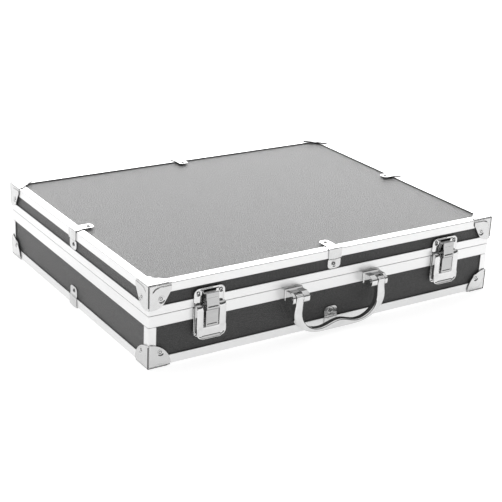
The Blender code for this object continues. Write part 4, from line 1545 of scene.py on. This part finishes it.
@dataclass
class Latch:
    """A toggle latch: keeper, base plate, tray-shaped lever and draw plate."""

    shell: Shell
    hand: Hand
    sheet: float = 1.0 * MM
    corner: float = 6.0 * MM
    border: float = 1.6 * MM
    dish: float = 3.6 * MM
    soften: float = 0.18 * MM
    keeper_rise: float = 0.55 * MM
    keeper_rivet: Point = (4.9 * MM, 4.6 * MM)
    keeper_slot: Point = (0.76, 0.90)
    keeper_slot_width: float = 0.78
    ear_sheet: float = 1.2 * MM
    ear_inset: float = 3.9 * MM
    ear_radius: float = 1.5 * MM
    ear_neck: float = 1.4 * MM
    ear_foot: float = 5.6 * MM
    pin_radius: float = 1.0 * MM
    pin_length: float = 3.2 * MM
    tray_below_front: float = 1.9 * MM
    tray_depth: float = 0.7 * MM
    tray_sink: float = 0.1
    window_share: float = 0.32
    rail_dome: float = 1.3 * MM
    rail_fall: float = 2.9 * MM
    lip_rise: float = 1.6 * MM
    flange_back: float = 2.6 * MM
    draw_half: float = 7.2 * MM
    draw_sheet: float = 0.9 * MM
    draw_step: float = 1.7 * MM
    draw_sunk: float = 0.45 * MM
    draw_knuckle: float = 1.7 * MM

    def node(self, part: str) -> str:
        """Names one of the latch's CAD nodes."""
        return f"latch_{part}_{self.hand.value}"

    def pivot(self, part: str) -> Place:
        """Gives the joint of the lever or of the draw plate, in the front's frame."""
        return self.shell.front_joint(f"{part}_{self.hand.value}_swing")

    def keeper(self) -> None:
        """Builds the riveted plate on the lid, with the slot that takes the hook."""
        node = self.node("keeper")
        low, high = self.shell.front_box(node)
        half, tall = (high.x - low.x) / 2, high.y - low.y
        slot_half = half_width(self.node("draw_plate")) * self.keeper_slot_width
        slot_low, slot_high = (share * tall for share in self.keeper_slot)
        slot = rounded_box((-slot_half, slot_low), (slot_half, slot_high), 0.5 * MM)
        from_side, from_top = self.keeper_rivet
        rivets = [(side * (half - from_side), tall - from_top) for side in (-1, 1)]

        def height(x: np.ndarray, y: np.ndarray) -> np.ndarray:
            """Raises the plate inside its border, and dishes it round each rivet.

            Args:
                x: Distance from the plate's middle.
                y: Distance above its lower edge.

            Returns:
                The outer face's height.
            """
            inside = np.minimum.reduce([half - np.abs(x), tall - y, y + 3 * MM])
            level = self.sheet + self.keeper_rise * smooth_step(inside, self.border, 1.7 * self.border)
            for cx, cy in rivets:
                away = smooth_step(np.hypot(x - cx, y - cy), 0.55 * self.dish, self.dish)
                level = level - self.keeper_rise * (1 - away)
            return level

        outline = rounded_box((-half, 0), (half, tall), 0.6 * MM, self.corner, 8)
        mesh = pressed(outline, height, self.sheet, self.soften, [slot])
        place = self.shell.side(Side.FRONT) @ at((low.x + high.x) / 2, low.y, GAP)
        show(f"{node}_plate", moved(mesh, place), CHROME, Half.LID.value, [node])
        spots = [(Vector((x, y, self.sheet)), Vector((0, 0, 1))) for x, y in rivets]
        rivet = Rivet(radius=2.2 * MM, height=0.6 * MM)
        show(f"{node}_rivets", rivet.placed(spots, place), RIVET_STEEL_PAINTED_SHADE, Half.LID.value)

    def base_plate(self) -> None:
        """Builds the plate behind the lever, with the ears that carry the lever's pins."""
        node = self.node("plate")
        low, high = self.shell.front_box(node)
        top = 2 * self.shell.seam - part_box(self.node("keeper"))[0].z
        half, tall = (high.x - low.x) / 2, top - low.y
        pivot = self.pivot("lever")
        rise = pivot.y - low.y

        def height(x: np.ndarray, y: np.ndarray) -> np.ndarray:
            """Sinks the middle inside a turned-up border.

            Args:
                x: Distance from the plate's middle.
                y: Distance above its lower edge.

            Returns:
                The outer face's height.
            """
            inside = np.minimum(half - np.abs(x), y)
            return self.sheet * (1 - 0.35 * smooth_step(inside, self.border, 1.5 * self.border))

        outline = rounded_box((-half, 0), (half, tall), self.corner, 0.4 * MM, 8)
        near, far = pivot.z - self.ear_radius, pivot.z + self.ear_radius
        tip, tip_round = rise + self.ear_radius, 0.98 * self.ear_radius
        root, neck, foot = 0.5 * self.sheet, tall - self.ear_neck, tall - self.ear_foot
        ear = fillet([
            (root, foot, 0), (far, neck, 0.3 * MM), (far, tip, tip_round),
            (near, tip, tip_round), (near, neck, 0.4 * MM), (root, neck, 0),
        ])
        inner = half_width(self.node("lever")) - self.ear_inset
        soft = self.pin_radius - 0.2 * MM
        shaft = turned([
            (0, self.pin_length), (soft, self.pin_length),
            (self.pin_radius, self.pin_length - 0.2 * MM), (self.pin_radius, 0), (0, 0),
        ], 16)
        pieces = [
            pressed(outline, height, 0.6 * self.sheet, self.soften),
            *paired_plates(ear, inner, inner + self.ear_sheet, 0.15 * MM),
        ]
        for side in (-1, 1):
            start = at(side * (inner + 0.4 * MM)) @ Matrix.Scale(side, 4, (1, 0, 0))
            pieces.append(moved(shaft, start, at(0, rise, pivot.z - GAP), Z_TO_X))
        place = self.shell.side(Side.FRONT) @ at((low.x + high.x) / 2, low.y, GAP)
        show(f"{node}_pressing", moved(merged(pieces), place), STEEL, Half.BASE.value, [node])

    def lever(self) -> None:
        """Builds the tray-shaped lever, whose window lets the draw plate through."""
        node = self.node("lever")
        low, high = self.shell.front_box(node)
        pivot = self.pivot("lever")
        half = (high.x - low.x) / 2
        bottom, top = low.y - pivot.y, high.y - pivot.y
        slot = half_width(self.node("draw_plate")) - 0.2 * MM
        window = bottom + self.window_share * (top - bottom)
        reach = high.z - pivot.z - self.tray_below_front
        outline = fillet([
            (-half, bottom, self.corner), (half, bottom, self.corner), (half, top, 1.2 * MM),
            (slot, top, 1.0 * MM), (slot, window, 0.8 * MM), (-slot, window, 0.8 * MM),
            (-slot, top, 1.0 * MM), (-half, top, 1.2 * MM),
        ], 8)

        def height(x: np.ndarray, y: np.ndarray) -> np.ndarray:
            """Shapes a tray with a raised border, whose rails curve back over the pivot.

            Args:
                x: Distance from the lever's middle.
                y: Height above the pivot.

            Returns:
                The outer face's height.
            """
            side, foot = half - np.abs(x), y - bottom
            corner_x, corner_y = (np.maximum(self.corner - gap, 0) for gap in (side, foot))
            at_corner = (corner_x > 0) & (corner_y > 0)
            round_it = self.corner - np.hypot(corner_x, corner_y)
            rim = np.where(at_corner, round_it, np.minimum(side, foot))
            tray = reach - self.tray_depth * smooth_step(rim, 1.0 * MM, 2.0 * MM)
            off_middle = (np.abs(x) - (half + slot) / 2) / (1.08 * (half - slot) / 2)
            dome = np.sqrt(np.clip(1 - off_middle**2, 0.05, 1))
            rail = reach - self.rail_dome * (1 - dome)
            on_rail = smooth_step(y, window - 2.5 * MM, window + 1.5 * MM)
            over = np.clip((y + 3.0 * MM) / (top + 3.0 * MM), 0, 1)
            fall = self.rail_fall * (1 - np.sqrt(1 - 0.96 * over**2))
            lip = smooth_step(foot, 3.5 * MM, 0) * smooth_step(np.abs(x), 13 * MM, 9 * MM)
            level = tray * (1 - on_rail) + rail * on_rail
            return level - fall - self.tray_sink * pivot.z + self.lip_rise * lip

        back, inside = -self.flange_back, reach - 0.9 * MM
        flange = fillet([
            (inside, bottom + self.corner, 0.3 * MM), (inside, -1.6 * MM, 0.8 * MM),
            (0.9 * MM, 2.3 * MM, 1.2 * MM), (-2.3 * MM, 2.3 * MM, 1.6 * MM),
            (back, -1.0 * MM, 0.5 * MM), (back, bottom + self.corner, 0.5 * MM),
        ])
        web = fillet([
            (inside, window, 0.2 * MM), (inside, -2.2 * MM, 0.8 * MM),
            (back, -2.2 * MM, 0.4 * MM), (back, window, 0.2 * MM),
        ])
        pieces = [
            pressed(outline, height, 0.8 * self.sheet, self.soften),
            *paired_plates(flange, half - 0.1 * MM, half - 1.1 * MM, 0.2 * MM),
            *paired_plates(web, slot + 0.2 * MM, slot + 1.1 * MM, 0.15 * MM),
        ]
        place = self.shell.side(Side.FRONT) @ Matrix.Translation(pivot)
        body = f"lever_{self.hand.value}"
        show(f"{node}_tray", moved(merged(pieces), place), CHROME, body, [node])

    def draw_plate(self) -> None:
        """Builds the bent strip that hooks over the keeper."""
        node = self.node("draw_plate")
        low, high = self.shell.front_box(node)
        pivot = self.pivot("draw_plate")
        front = high.z - pivot.z
        top, bottom = high.y - pivot.y, low.y - pivot.y
        step = self.pivot("lever").y - pivot.y - 2.2 * MM
        low_front = front - self.draw_step
        path = dense_path(fillet([
            (2.0 * MM - pivot.z, top - 2.6 * MM, 0), (front - 2.0 * MM, top, 0.9 * MM),
            (front, step + 0.6 * MM, 0.9 * MM), (low_front, step - 1.2 * MM, 0.9 * MM),
            (low_front, bottom, 0),
        ], 6), 0.45 * MM)
        half = self.draw_half
        across = half * np.ones((len(path), 1)) * np.linspace(-1, 1, 31)
        up = path[:, 1:] * np.ones_like(across)
        outer = path[:, :1] * np.ones_like(across) > low_front + 0.4 * MM
        edge = half - np.abs(across)
        upper = np.minimum.reduce([edge, top - 0.8 * MM - up, up - step - 1.6 * MM])
        lower = np.minimum.reduce([edge, step - 2.4 * MM - up, up - bottom - 1.2 * MM])
        sunk = self.draw_sunk * smooth_step(np.where(outer, upper, lower), 0.9 * MM, 1.6 * MM)
        arm_out = low_front - 0.5 * MM
        arm = [(0, -0.8 * MM), (arm_out, -0.8 * MM), (arm_out, 0.8 * MM), (0, 0.8 * MM)]
        whole = merged([
            swept_sheet(path, across, -sunk, self.draw_sheet, self.soften),
            cross_plate(arm, -half, half, 0.1 * MM),
            rod(self.draw_knuckle, half, 0.2 * MM, 20),
            rod(self.pin_radius, (high.x - low.x) / 2, 0, 16),
        ])
        place = self.shell.side(Side.FRONT) @ Matrix.Translation(pivot)
        body = f"draw_plate_{self.hand.value}"
        # The strip's darker chrome tone is painted shade.
        show(f"{node}_strip", moved(whole, place), SATIN_CHROME_PAINTED_SHADE, body, [node])

    def build(self) -> None:
        """Builds the latch's four pieces."""
        self.keeper()
        self.base_plate()
        self.lever()
        self.draw_plate()


# ---------------------------------------------------------------- handle


@dataclass
class CarryingHandle:
    """The chromed drop handle and its two brackets."""

    shell: Shell
    rounding: float = 1.75 * MM
    arm: float = 10.0 * MM
    tuck: float = 0.7 * MM
    lean: float = 2.3 * MM
    back: float = 3.2 * MM
    head: float = 9.2 * MM
    head_top: float = 3.6 * MM
    shoulder: Point = (-5.0 * MM, -16.5 * MM)
    taper: float = 2.0 * MM
    bend: Point = (38 * MM, 27 * MM)
    thin: float = 5.0 * MM
    thick: float = 10.0 * MM
    hump_half: float = 25 * MM
    pin_radius: float = 2.0 * MM
    eye_radius: float = 4.5 * MM
    channel_half: float = 1.3 * MM
    channel_depth: float = 2.6 * MM
    channel_top: float = -13.0 * MM
    channel_above: float = 1.2 * MM
    channel_bend: Point = (0.72, 0.66)
    frame_rise: float = 2.6 * MM
    frame_slope: float = 1.6 * MM
    frame_edge: float = 1.2 * MM
    web: float = 7.9 * MM

    def quarter(self, end_x: float, low: float, wide: float, high: float) -> list[Point]:
        """Draws a quarter ellipse from its lowest point to its outermost one.

        Args:
            end_x: X of its outermost point.
            low: Y of its lowest point.
            wide: Its half width.
            high: Its half height.

        Returns:
            The points.
        """
        angles = [pi / 2 * i / 16 for i in range(17)]
        return [(end_x - wide + wide * sin(a), low + high * (1 - cos(a))) for a in angles]

    def bail(self, head: float, outer: float, drop: float) -> list[Point]:
        """Draws the handle from the front, hanging, with its pivot at Y 0.

        Args:
            head: Middle of a head, along the front.
            outer: Outermost point of an arm.
            drop: How far the grip's underside is below the pivot.

        Returns:
            The closed outline.
        """
        head_out, head_in = head + self.head / 2, head - self.head / 2
        arm_out = outer - self.taper
        arm_in = arm_out - self.arm
        heights = np.linspace(*self.shoulder, 13)
        share = smooth_step(heights, *self.shoulder)
        outside = np.stack([head_out * (1 - share) + arm_out * share, heights], axis=-1).tolist()
        inward = np.stack([head_in * (1 - share) + arm_in * share, heights], axis=-1).tolist()
        wide, high = self.bend
        outside += reversed(self.quarter(arm_out, -drop, wide, high))
        grip = self.thin - drop
        inside = [*self.quarter(arm_in, grip, arm_in - self.hump_half, high - self.thin),
                  *reversed(inward)]
        rise = (self.thick - self.thin) / 2
        hump = [
            (x, grip + rise * (1 + cos(pi * x / self.hump_half)))
            for x in np.linspace(-self.hump_half, self.hump_half, 25)[1:-1].tolist()
        ]
        top = [(head_in, self.head_top, 1.5 * MM), (head_out, self.head_top, 1.5 * MM)]
        right = [*top, *((x, y, 0) for x, y in outside)]
        left = [(-x, y, radius) for x, y, radius in reversed(right)]
        opening = [*((-x, y) for x, y in reversed(inside)), *hump, *inside]
        return fillet([*right, *left, *((x, y, 0) for x, y in opening)])

    def channel(self, outer: float, drop: float) -> list[Point]:
        """Draws the channel in the back of the right arm's lower half.

        Args:
            outer: Outermost point of the arm.
            drop: How far the grip's underside is below the pivot.

        Returns:
            The closed outline.
        """
        half, low = self.channel_half, self.channel_above - drop
        middle = outer - self.taper - self.arm / 2
        (wide, high), (outer_share, inner_share), rise = self.bend, self.channel_bend, 1.6 * half
        arc = self.quarter(middle + half, low, wide * outer_share, high)
        inner = self.quarter(middle - half, low + rise, wide * inner_share, high - rise)
        ends = [(middle + half, self.channel_top), (middle - half, self.channel_top)]
        return [*arc, *ends, *reversed(inner)]

    def handle(self) -> None:
        """Builds the handle."""
        low, high = self.shell.front_box("handle")
        pivot = self.shell.front_joint("handle_swing")
        bracket_low, bracket_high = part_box("handle_bracket_right")
        pin_x = (bracket_low.x + bracket_high.x) / 2
        drop, outer = pivot.y - low.y, high.x - self.tuck
        back = max(low.z - pivot.z, -self.back)
        outline = self.bail(pin_x + self.lean, outer, drop)
        body = plate(outline, back, high.z - pivot.z, self.rounding, resolution=5)
        channel = plate(self.channel(outer, drop), back - MM, back + self.channel_depth, 0.3 * MM)
        pieces = [carved(body, channel, moved(channel, Matrix.Scale(-1, 4, (1, 0, 0))))]
        pin = rod(self.pin_radius, (bracket_high.x - bracket_low.x) / 2 - GAP, 0.2 * MM, 20)
        eye = rod(self.eye_radius, self.head / 2 - 0.1 * MM, 0.3 * MM, 32)
        for side in (-1, 1):
            pieces += [moved(eye, at(side * (pin_x + self.lean))), moved(pin, at(side * pin_x))]
        place = self.shell.side(Side.FRONT) @ at(0, pivot.y, pivot.z)
        show("handle_bail", moved(merged(pieces), place), CHROME, "handle", ["handle"])

    def bracket(self, hand: Hand) -> None:
        """Builds a bracket: a bevelled frame on the rim and two lugs for the pin.

        Args:
            hand: Which bracket.
        """
        node = f"handle_bracket_{hand.value}"
        low, high = self.shell.front_box(node)
        half, tall, reach = (high.x - low.x) / 2, (high.y - low.y) / 2, high.z
        out = self.shell.front_joint("handle_swing").z

        def height(x: np.ndarray, y: np.ndarray) -> np.ndarray:
            """Slopes up from the edge to a flat middle.

            Args:
                x: Distance from the frame's middle, along the rim.
                y: Distance from its middle, upwards.

            Returns:
                The outer face's height.
            """
            inside = np.minimum(half - np.abs(x), tall - np.abs(y))
            slope = np.clip(inside / self.frame_slope, 0, 1)
            return GAP + self.frame_edge + self.frame_rise * slope

        frame = rounded_box((-half, -tall), (half, tall), 0.6 * MM)
        lug = fillet([
            (GAP + 0.4 * MM, tall - 0.9 * MM, 0.4 * MM), (GAP + 0.4 * MM, 0.5 * MM - tall, 0.4 * MM),
            (out - 1.0 * MM, -tall, 2.0 * MM), (reach, 1.4 * MM - tall, 3.4 * MM),
            (reach, tall - 3.6 * MM, 3.6 * MM), (out - 2.5 * MM, tall - 0.5 * MM, 3.5 * MM),
        ], 8)
        web = fillet([
            (GAP, tall - 0.8 * MM, 0.2 * MM), (GAP, 1.0 * MM - tall, 0.2 * MM),
            (self.web, 2.4 * MM - tall, 0.6 * MM), (self.web, tall - 1.8 * MM, 0.6 * MM),
        ])
        pieces = [
            pressed(frame, height, self.frame_edge, 0.2 * MM),
            cross_plate(web, 2 * MM - half, half - 2 * MM, 0.15 * MM),
        ]
        outwards = 1 if hand is Hand.RIGHT else -1
        gap = self.head / 2 + 0.35 * MM
        for start, end in ((0.8 * MM - half, self.lean - gap), (self.lean + gap, half - 0.4 * MM)):
            ends = sorted((outwards * start, outwards * end))
            pieces.append(cross_plate(lug, *ends, 0.7 * MM, resolution=3))
        place = self.shell.side(Side.FRONT) @ at((low.x + high.x) / 2, (low.y + high.y) / 2)
        show(f"{node}_casting", moved(merged(pieces), place), CHROME, Half.BASE.value, [node])

    def build(self) -> None:
        """Builds the handle and both brackets."""
        self.handle()
        for hand in Hand:
            self.bracket(hand)


# ---------------------------------------------------------------- hinges


@dataclass
class Hinge:
    """A butt hinge on the back, with two leaves, knuckles and a pin."""

    shell: Shell
    hand: Hand
    sheet: float = 1.2 * MM
    corner: float = 3.0 * MM
    barrel: float = 2.85 * MM
    bore: float = 1.5 * MM
    knuckle_half: float = 8.4 * MM
    knuckle_gap: float = 0.35 * MM
    sink_depth: float = 0.45 * MM
    sink_radii: Point = (2.2 * MM, 3.3 * MM)
    rivet_spread: float = 0.72
    rivet_rise: float = 0.6

    def knuckle(self, start: float, end: float) -> bpy.types.Mesh:
        """Makes a rolled knuckle round X.

        Args:
            start: Where it starts.
            end: Where it ends.

        Returns:
            The mesh.
        """
        soft = 0.25 * MM
        inner, outer = self.barrel - soft, self.barrel
        profile = [
            (self.bore, end), (inner, end), (outer, end - soft),
            (outer, start + soft), (inner, start), (self.bore, start), (self.bore, end),
        ]
        return moved(turned(profile, 28), Z_TO_X)

    def leaf(self, half_name: Half, knuckles: Sequence[Point]) -> None:
        """Builds a leaf with its knuckles and rivets.

        Args:
            half_name: The half of the case that it is riveted to.
            knuckles: Where each knuckle starts and ends.
        """
        node = f"hinge_{half_name.value}_leaf_{self.hand.value}"
        low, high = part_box(node)
        axis = Vector(JOINTS["lid_hinge"]["pos_m"])
        away = 1 if half_name is Half.LID else -1
        half, middle = (high.x - low.x) / 2, (low.x + high.x) / 2
        reach = max(high.z - axis.z, axis.z - low.z)
        out = axis.y - self.shell.half_y
        near = self.barrel + 0.35 * MM
        back = GAP - out
        rise = near + self.rivet_rise * (reach - near)
        spots = [(share * half, rise) for share in (-self.rivet_spread, 0, self.rivet_spread)]

        def height(x: np.ndarray, y: np.ndarray) -> np.ndarray:
            """Countersinks a flat sheet round each rivet.

            Args:
                x: Distance from the leaf's middle.
                y: Distance from the hinge's axis.

            Returns:
                The outer face's height.
            """
            level = np.full_like(x, back + self.sheet)
            for cx, cy in spots:
                away_from_it = np.hypot(x - cx, y - cy)
                level -= self.sink_depth * (1 - smooth_step(away_from_it, *self.sink_radii))
            return level

        outline = rounded_box((-half, near), (half, reach), 0.3 * MM, self.corner, 6)
        pieces = [pressed(outline, height, self.sheet * 0.6, 0.15 * MM)]
        for start, end in knuckles:
            tab = [(start, 0.5 * MM), (end, 0.5 * MM), (end, near + MM), (start, near + MM)]
            pieces.append(plate(tab, back, back + self.sheet, 0.1 * MM))
            pieces.append(self.knuckle(start, end))
        place = self.shell.side(Side.BACK) @ at(-middle, axis.z, out)
        body = half_name.value
        flip = Matrix.Scale(away, 4, (0, 1, 0))
        show(f"{node}_pressing", moved(merged(pieces), place, flip), STEEL, body, [node])
        level = back + self.sheet - self.sink_depth
        rivets = [(Vector((x, away * y, level)), Vector((0, 0, 1))) for x, y in spots]
        rivet = Rivet(radius=2.1 * MM, height=0.55 * MM, root=0.5 * MM)
        show(f"{node}_rivets", rivet.placed(rivets, place), RIVET_STEEL_PAINTED_SHADE, body)

    def build(self) -> None:
        """Builds the hinge's leaves, and dresses its pin."""
        half = half_width(f"hinge_base_leaf_{self.hand.value}")
        middle, gap = self.knuckle_half, self.knuckle_gap
        self.leaf(Half.LID, [(-middle, middle)])
        self.leaf(Half.BASE, [(-half, -middle - gap), (middle + gap, half)])
        refinish(f"hinge_pin_{self.hand.value}", RIVET_STEEL_PAINTED_SHADE)


# ---------------------------------------------------------------- linings


@dataclass
class Linings:
    """The base's foam tray and the lid's profiled foam."""

    wall: float = 5.0 * MM
    floor: float = 7.6 * MM
    edge: float = 1.4 * MM
    dip: float = 0.5 * MM
    crest: float = 5.0 * MM
    pitch: float = 28.0 * MM

    def tray(self) -> None:
        """Builds the base's tray."""
        low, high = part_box("base_lining")

        def surface(x: np.ndarray, y: np.ndarray) -> np.ndarray:
            """Shapes the wall's rounded top, its inner face and the floor.

            Args:
                x: Place along X.
                y: Place along Y.

            Returns:
                The height there.
            """
            depth = depth_inside(x, y, low, high)
            arc = np.sqrt(np.clip(1 - (1 - depth / self.edge) ** 2, 0, 1))
            top = np.where(depth > self.edge, high.z, high.z - self.edge * (1 - arc))
            inside = smooth_step(depth, self.wall - self.edge, self.wall + 0.6 * MM)
            floor = low.z + self.floor + self.dip * np.sin(x * 31) * np.sin(y * 37 + 1)
            return top * (1 - inside) + floor * inside

        near = np.array([
            0, 0.2, 0.5, 0.9, 1.4, 2.2, 3, 3.6, 4.0, 4.3, 4.6, 4.9, 5.3, 5.8, 7, 10,
        ]) * MM
        xs, ys = (
            np.concatenate([start + near, np.linspace(start, end, count)[2:-2], end - near[::-1]])
            for start, end, count in ((low.x, high.x, 40), (low.y, high.y, 32))
        )
        mesh = block(surface, low.z, xs, ys)
        show("base_lining_foam", mesh, FOAM, Half.BASE.value, ["base_lining"], 50)

    def lid(self) -> None:
        """Builds the lid's foam, with a profiled lower face."""
        low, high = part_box("lid_lining")

        def surface(x: np.ndarray, y: np.ndarray) -> np.ndarray:
            """Shapes rows of round crests and hollows that flatten out towards the edge.

            Args:
                x: Place along X.
                y: Place along Y.

            Returns:
                The height there.
            """
            depth = depth_inside(x, y, low, high)
            wave = np.cos(2 * pi * x / self.pitch) * np.cos(2 * pi * y / self.pitch)
            inside = smooth_step(depth, 3 * MM, 14 * MM)
            soft = 1.5 * MM * (1 - smooth_step(depth, 0, 2.5 * MM))
            return low.z + soft + self.crest * (1 - wave) / 2 * inside

        xs, ys = np.linspace(low.x, high.x, 121), np.linspace(low.y, high.y, 97)
        mesh = block(surface, high.z, xs, ys)
        show("lid_lining_foam", mesh, FOAM, Half.LID.value, ["lid_lining"], 60)

    def build(self) -> None:
        """Builds both linings."""
        self.tray()
        self.lid()


# ---------------------------------------------------------------- studio


@dataclass
class Sky:
    """Pale light all round, darker low in front, with a bright backdrop behind on the right."""

    ambient: float = 0.8
    dark_side: float = 0.12
    backdrop: float = 3.9

    def __post_init__(self) -> None:
        """Makes the world and its node tree."""
        self.world = bpy.data.worlds.new("studio")
        self.world.use_nodes = True
        self.tree = self.world.node_tree
        self.axes = self.tree.nodes.new("ShaderNodeSeparateXYZ").outputs
        way = self.tree.nodes.new("ShaderNodeTexCoord").outputs["Generated"]
        self.tree.links.new(way, self.axes[0].node.inputs["Vector"])

    def ramp(self, axis: str, low: float, high: float) -> bpy.types.NodeSocket:
        """Rises smoothly from 0 to 1 along an axis of the sky.

        Args:
            axis: X, Y or Z.
            low: Where it starts; more than high makes it fall.
            high: Where it ends.

        Returns:
            The value socket.
        """
        node = self.tree.nodes.new("ShaderNodeMapRange")
        node.interpolation_type = "SMOOTHSTEP"
        node.inputs["From Min"].default_value = low
        node.inputs["From Max"].default_value = high
        self.tree.links.new(self.axes[axis], node.inputs["Value"])
        return node.outputs["Result"]

    def combine(
        self, operation: str, first: bpy.types.NodeSocket, *others: bpy.types.NodeSocket | float
    ) -> bpy.types.NodeSocket:
        """Joins values with math nodes, one after the other.

        Args:
            operation: The nodes' operation.
            first: A socket.
            others: More sockets or numbers.

        Returns:
            The value socket.
        """
        result = first
        for other in others:
            node = self.tree.nodes.new("ShaderNodeMath")
            node.operation = operation
            for socket, value in zip(node.inputs, (result, other)):
                if isinstance(value, float):
                    socket.default_value = value
                else:
                    self.tree.links.new(value, socket)
            result = node.outputs["Value"]
        return result

    def build(self) -> None:
        """Links the sky's parts to its strength."""
        behind = self.combine("MULTIPLY", self.ramp("Y", 0.05, 0.6), self.ramp("Z", 0.0, 0.15))
        right = self.combine("MULTIPLY", self.ramp("Z", 0.95, 0.6), self.ramp("X", -0.3, 0.2))
        bright = self.combine("MULTIPLY", behind, right, self.backdrop)
        ahead = self.combine("MULTIPLY", self.ramp("Y", 0.35, -0.25), self.ramp("Z", 0.75, 0.35))
        dimmed = self.combine("MULTIPLY", ahead, self.dark_side - self.ambient)
        background = self.tree.nodes["Background"]
        background.inputs["Color"].default_value = (1, 1, 1, 1)
        strength = self.combine("ADD", bright, dimmed, self.ambient)
        self.tree.links.new(strength, background.inputs["Strength"])
        bpy.context.scene.world = self.world


@dataclass
class Studio:
    """A pale floor, soft light and the camera."""

    azimuth: float = -33.513
    elevation: float = 21.693
    roll: float = 2.646
    distance: float = 1.3841
    lens: float = 86.73
    look_at: tuple[float, float, float] = (-0.0244, -0.0488, 0.0475)
    floor_half: float = 6.0
    lamp_place: tuple[float, float, float] = (0.2, 0.5, 1.7)
    lamp_aim: tuple[float, float, float] = (0, 0, 0.05)
    lamp_size: float = 1.6
    lamp_power: float = 4.0

    def camera(self) -> None:
        """Places the camera."""
        az, el, roll = (radians(a) for a in (self.azimuth, self.elevation, self.roll))
        ahead = Vector((-sin(az) * cos(el), cos(az) * cos(el), -sin(el)))
        right = Vector((cos(az), sin(az), 0))
        up = right.cross(ahead)
        right, up = right * cos(roll) + up * sin(roll), up * cos(roll) - right * sin(roll)
        data = bpy.data.cameras.new("camera")
        data.lens = self.lens
        data.sensor_width = 36
        data.clip_start = 0.05
        turn = Matrix((right, up, -ahead)).transposed().to_4x4()
        camera = in_scene("camera", data)
        camera.matrix_world = Matrix.Translation(Vector(self.look_at) - ahead * self.distance) @ turn
        bpy.context.scene.camera = camera

    def floor(self) -> None:
        """Lays the floor."""
        far = self.floor_half
        corners = [[(x, y, 0) for x in (-far, far)] for y in (-far, far)]
        mesh = grid_mesh(np.array(corners), flip=True)
        mesh.materials.append(FLOOR_PAINT.material())
        in_scene("floor", mesh)

    def lamp(self) -> None:
        """Hangs a wide soft lamp overhead."""
        data = bpy.data.lights.new("overhead", "AREA")
        data.size = self.lamp_size
        data.energy = self.lamp_power
        way = Vector(self.lamp_aim) - Vector(self.lamp_place)
        turn = way.to_track_quat("-Z", "Y").to_matrix().to_4x4()
        in_scene("overhead", data).matrix_world = Matrix.Translation(self.lamp_place) @ turn

    def build(self) -> None:
        """Sets the whole studio up."""
        self.camera()
        self.floor()
        Sky().build()
        self.lamp()
        bpy.context.scene.view_settings.view_transform = "Standard"


def main() -> None:
    """Builds every sub-assembly in order."""
    logging.basicConfig(level=logging.INFO, format="%(message)s", stream=sys.stdout)
    shell = Shell.from_frame()
    Studio().build()
    BoardsAndEdging(shell).build()
    CornerCaps(shell).build()
    EdgeClamps(shell).build()
    for hand in Hand:
        Latch(shell, hand).build()
    CarryingHandle(shell).build()
    for hand in Hand:
        Hinge(shell, hand).build()
    Linings().build()


if __name__ == "__main__":
    main()
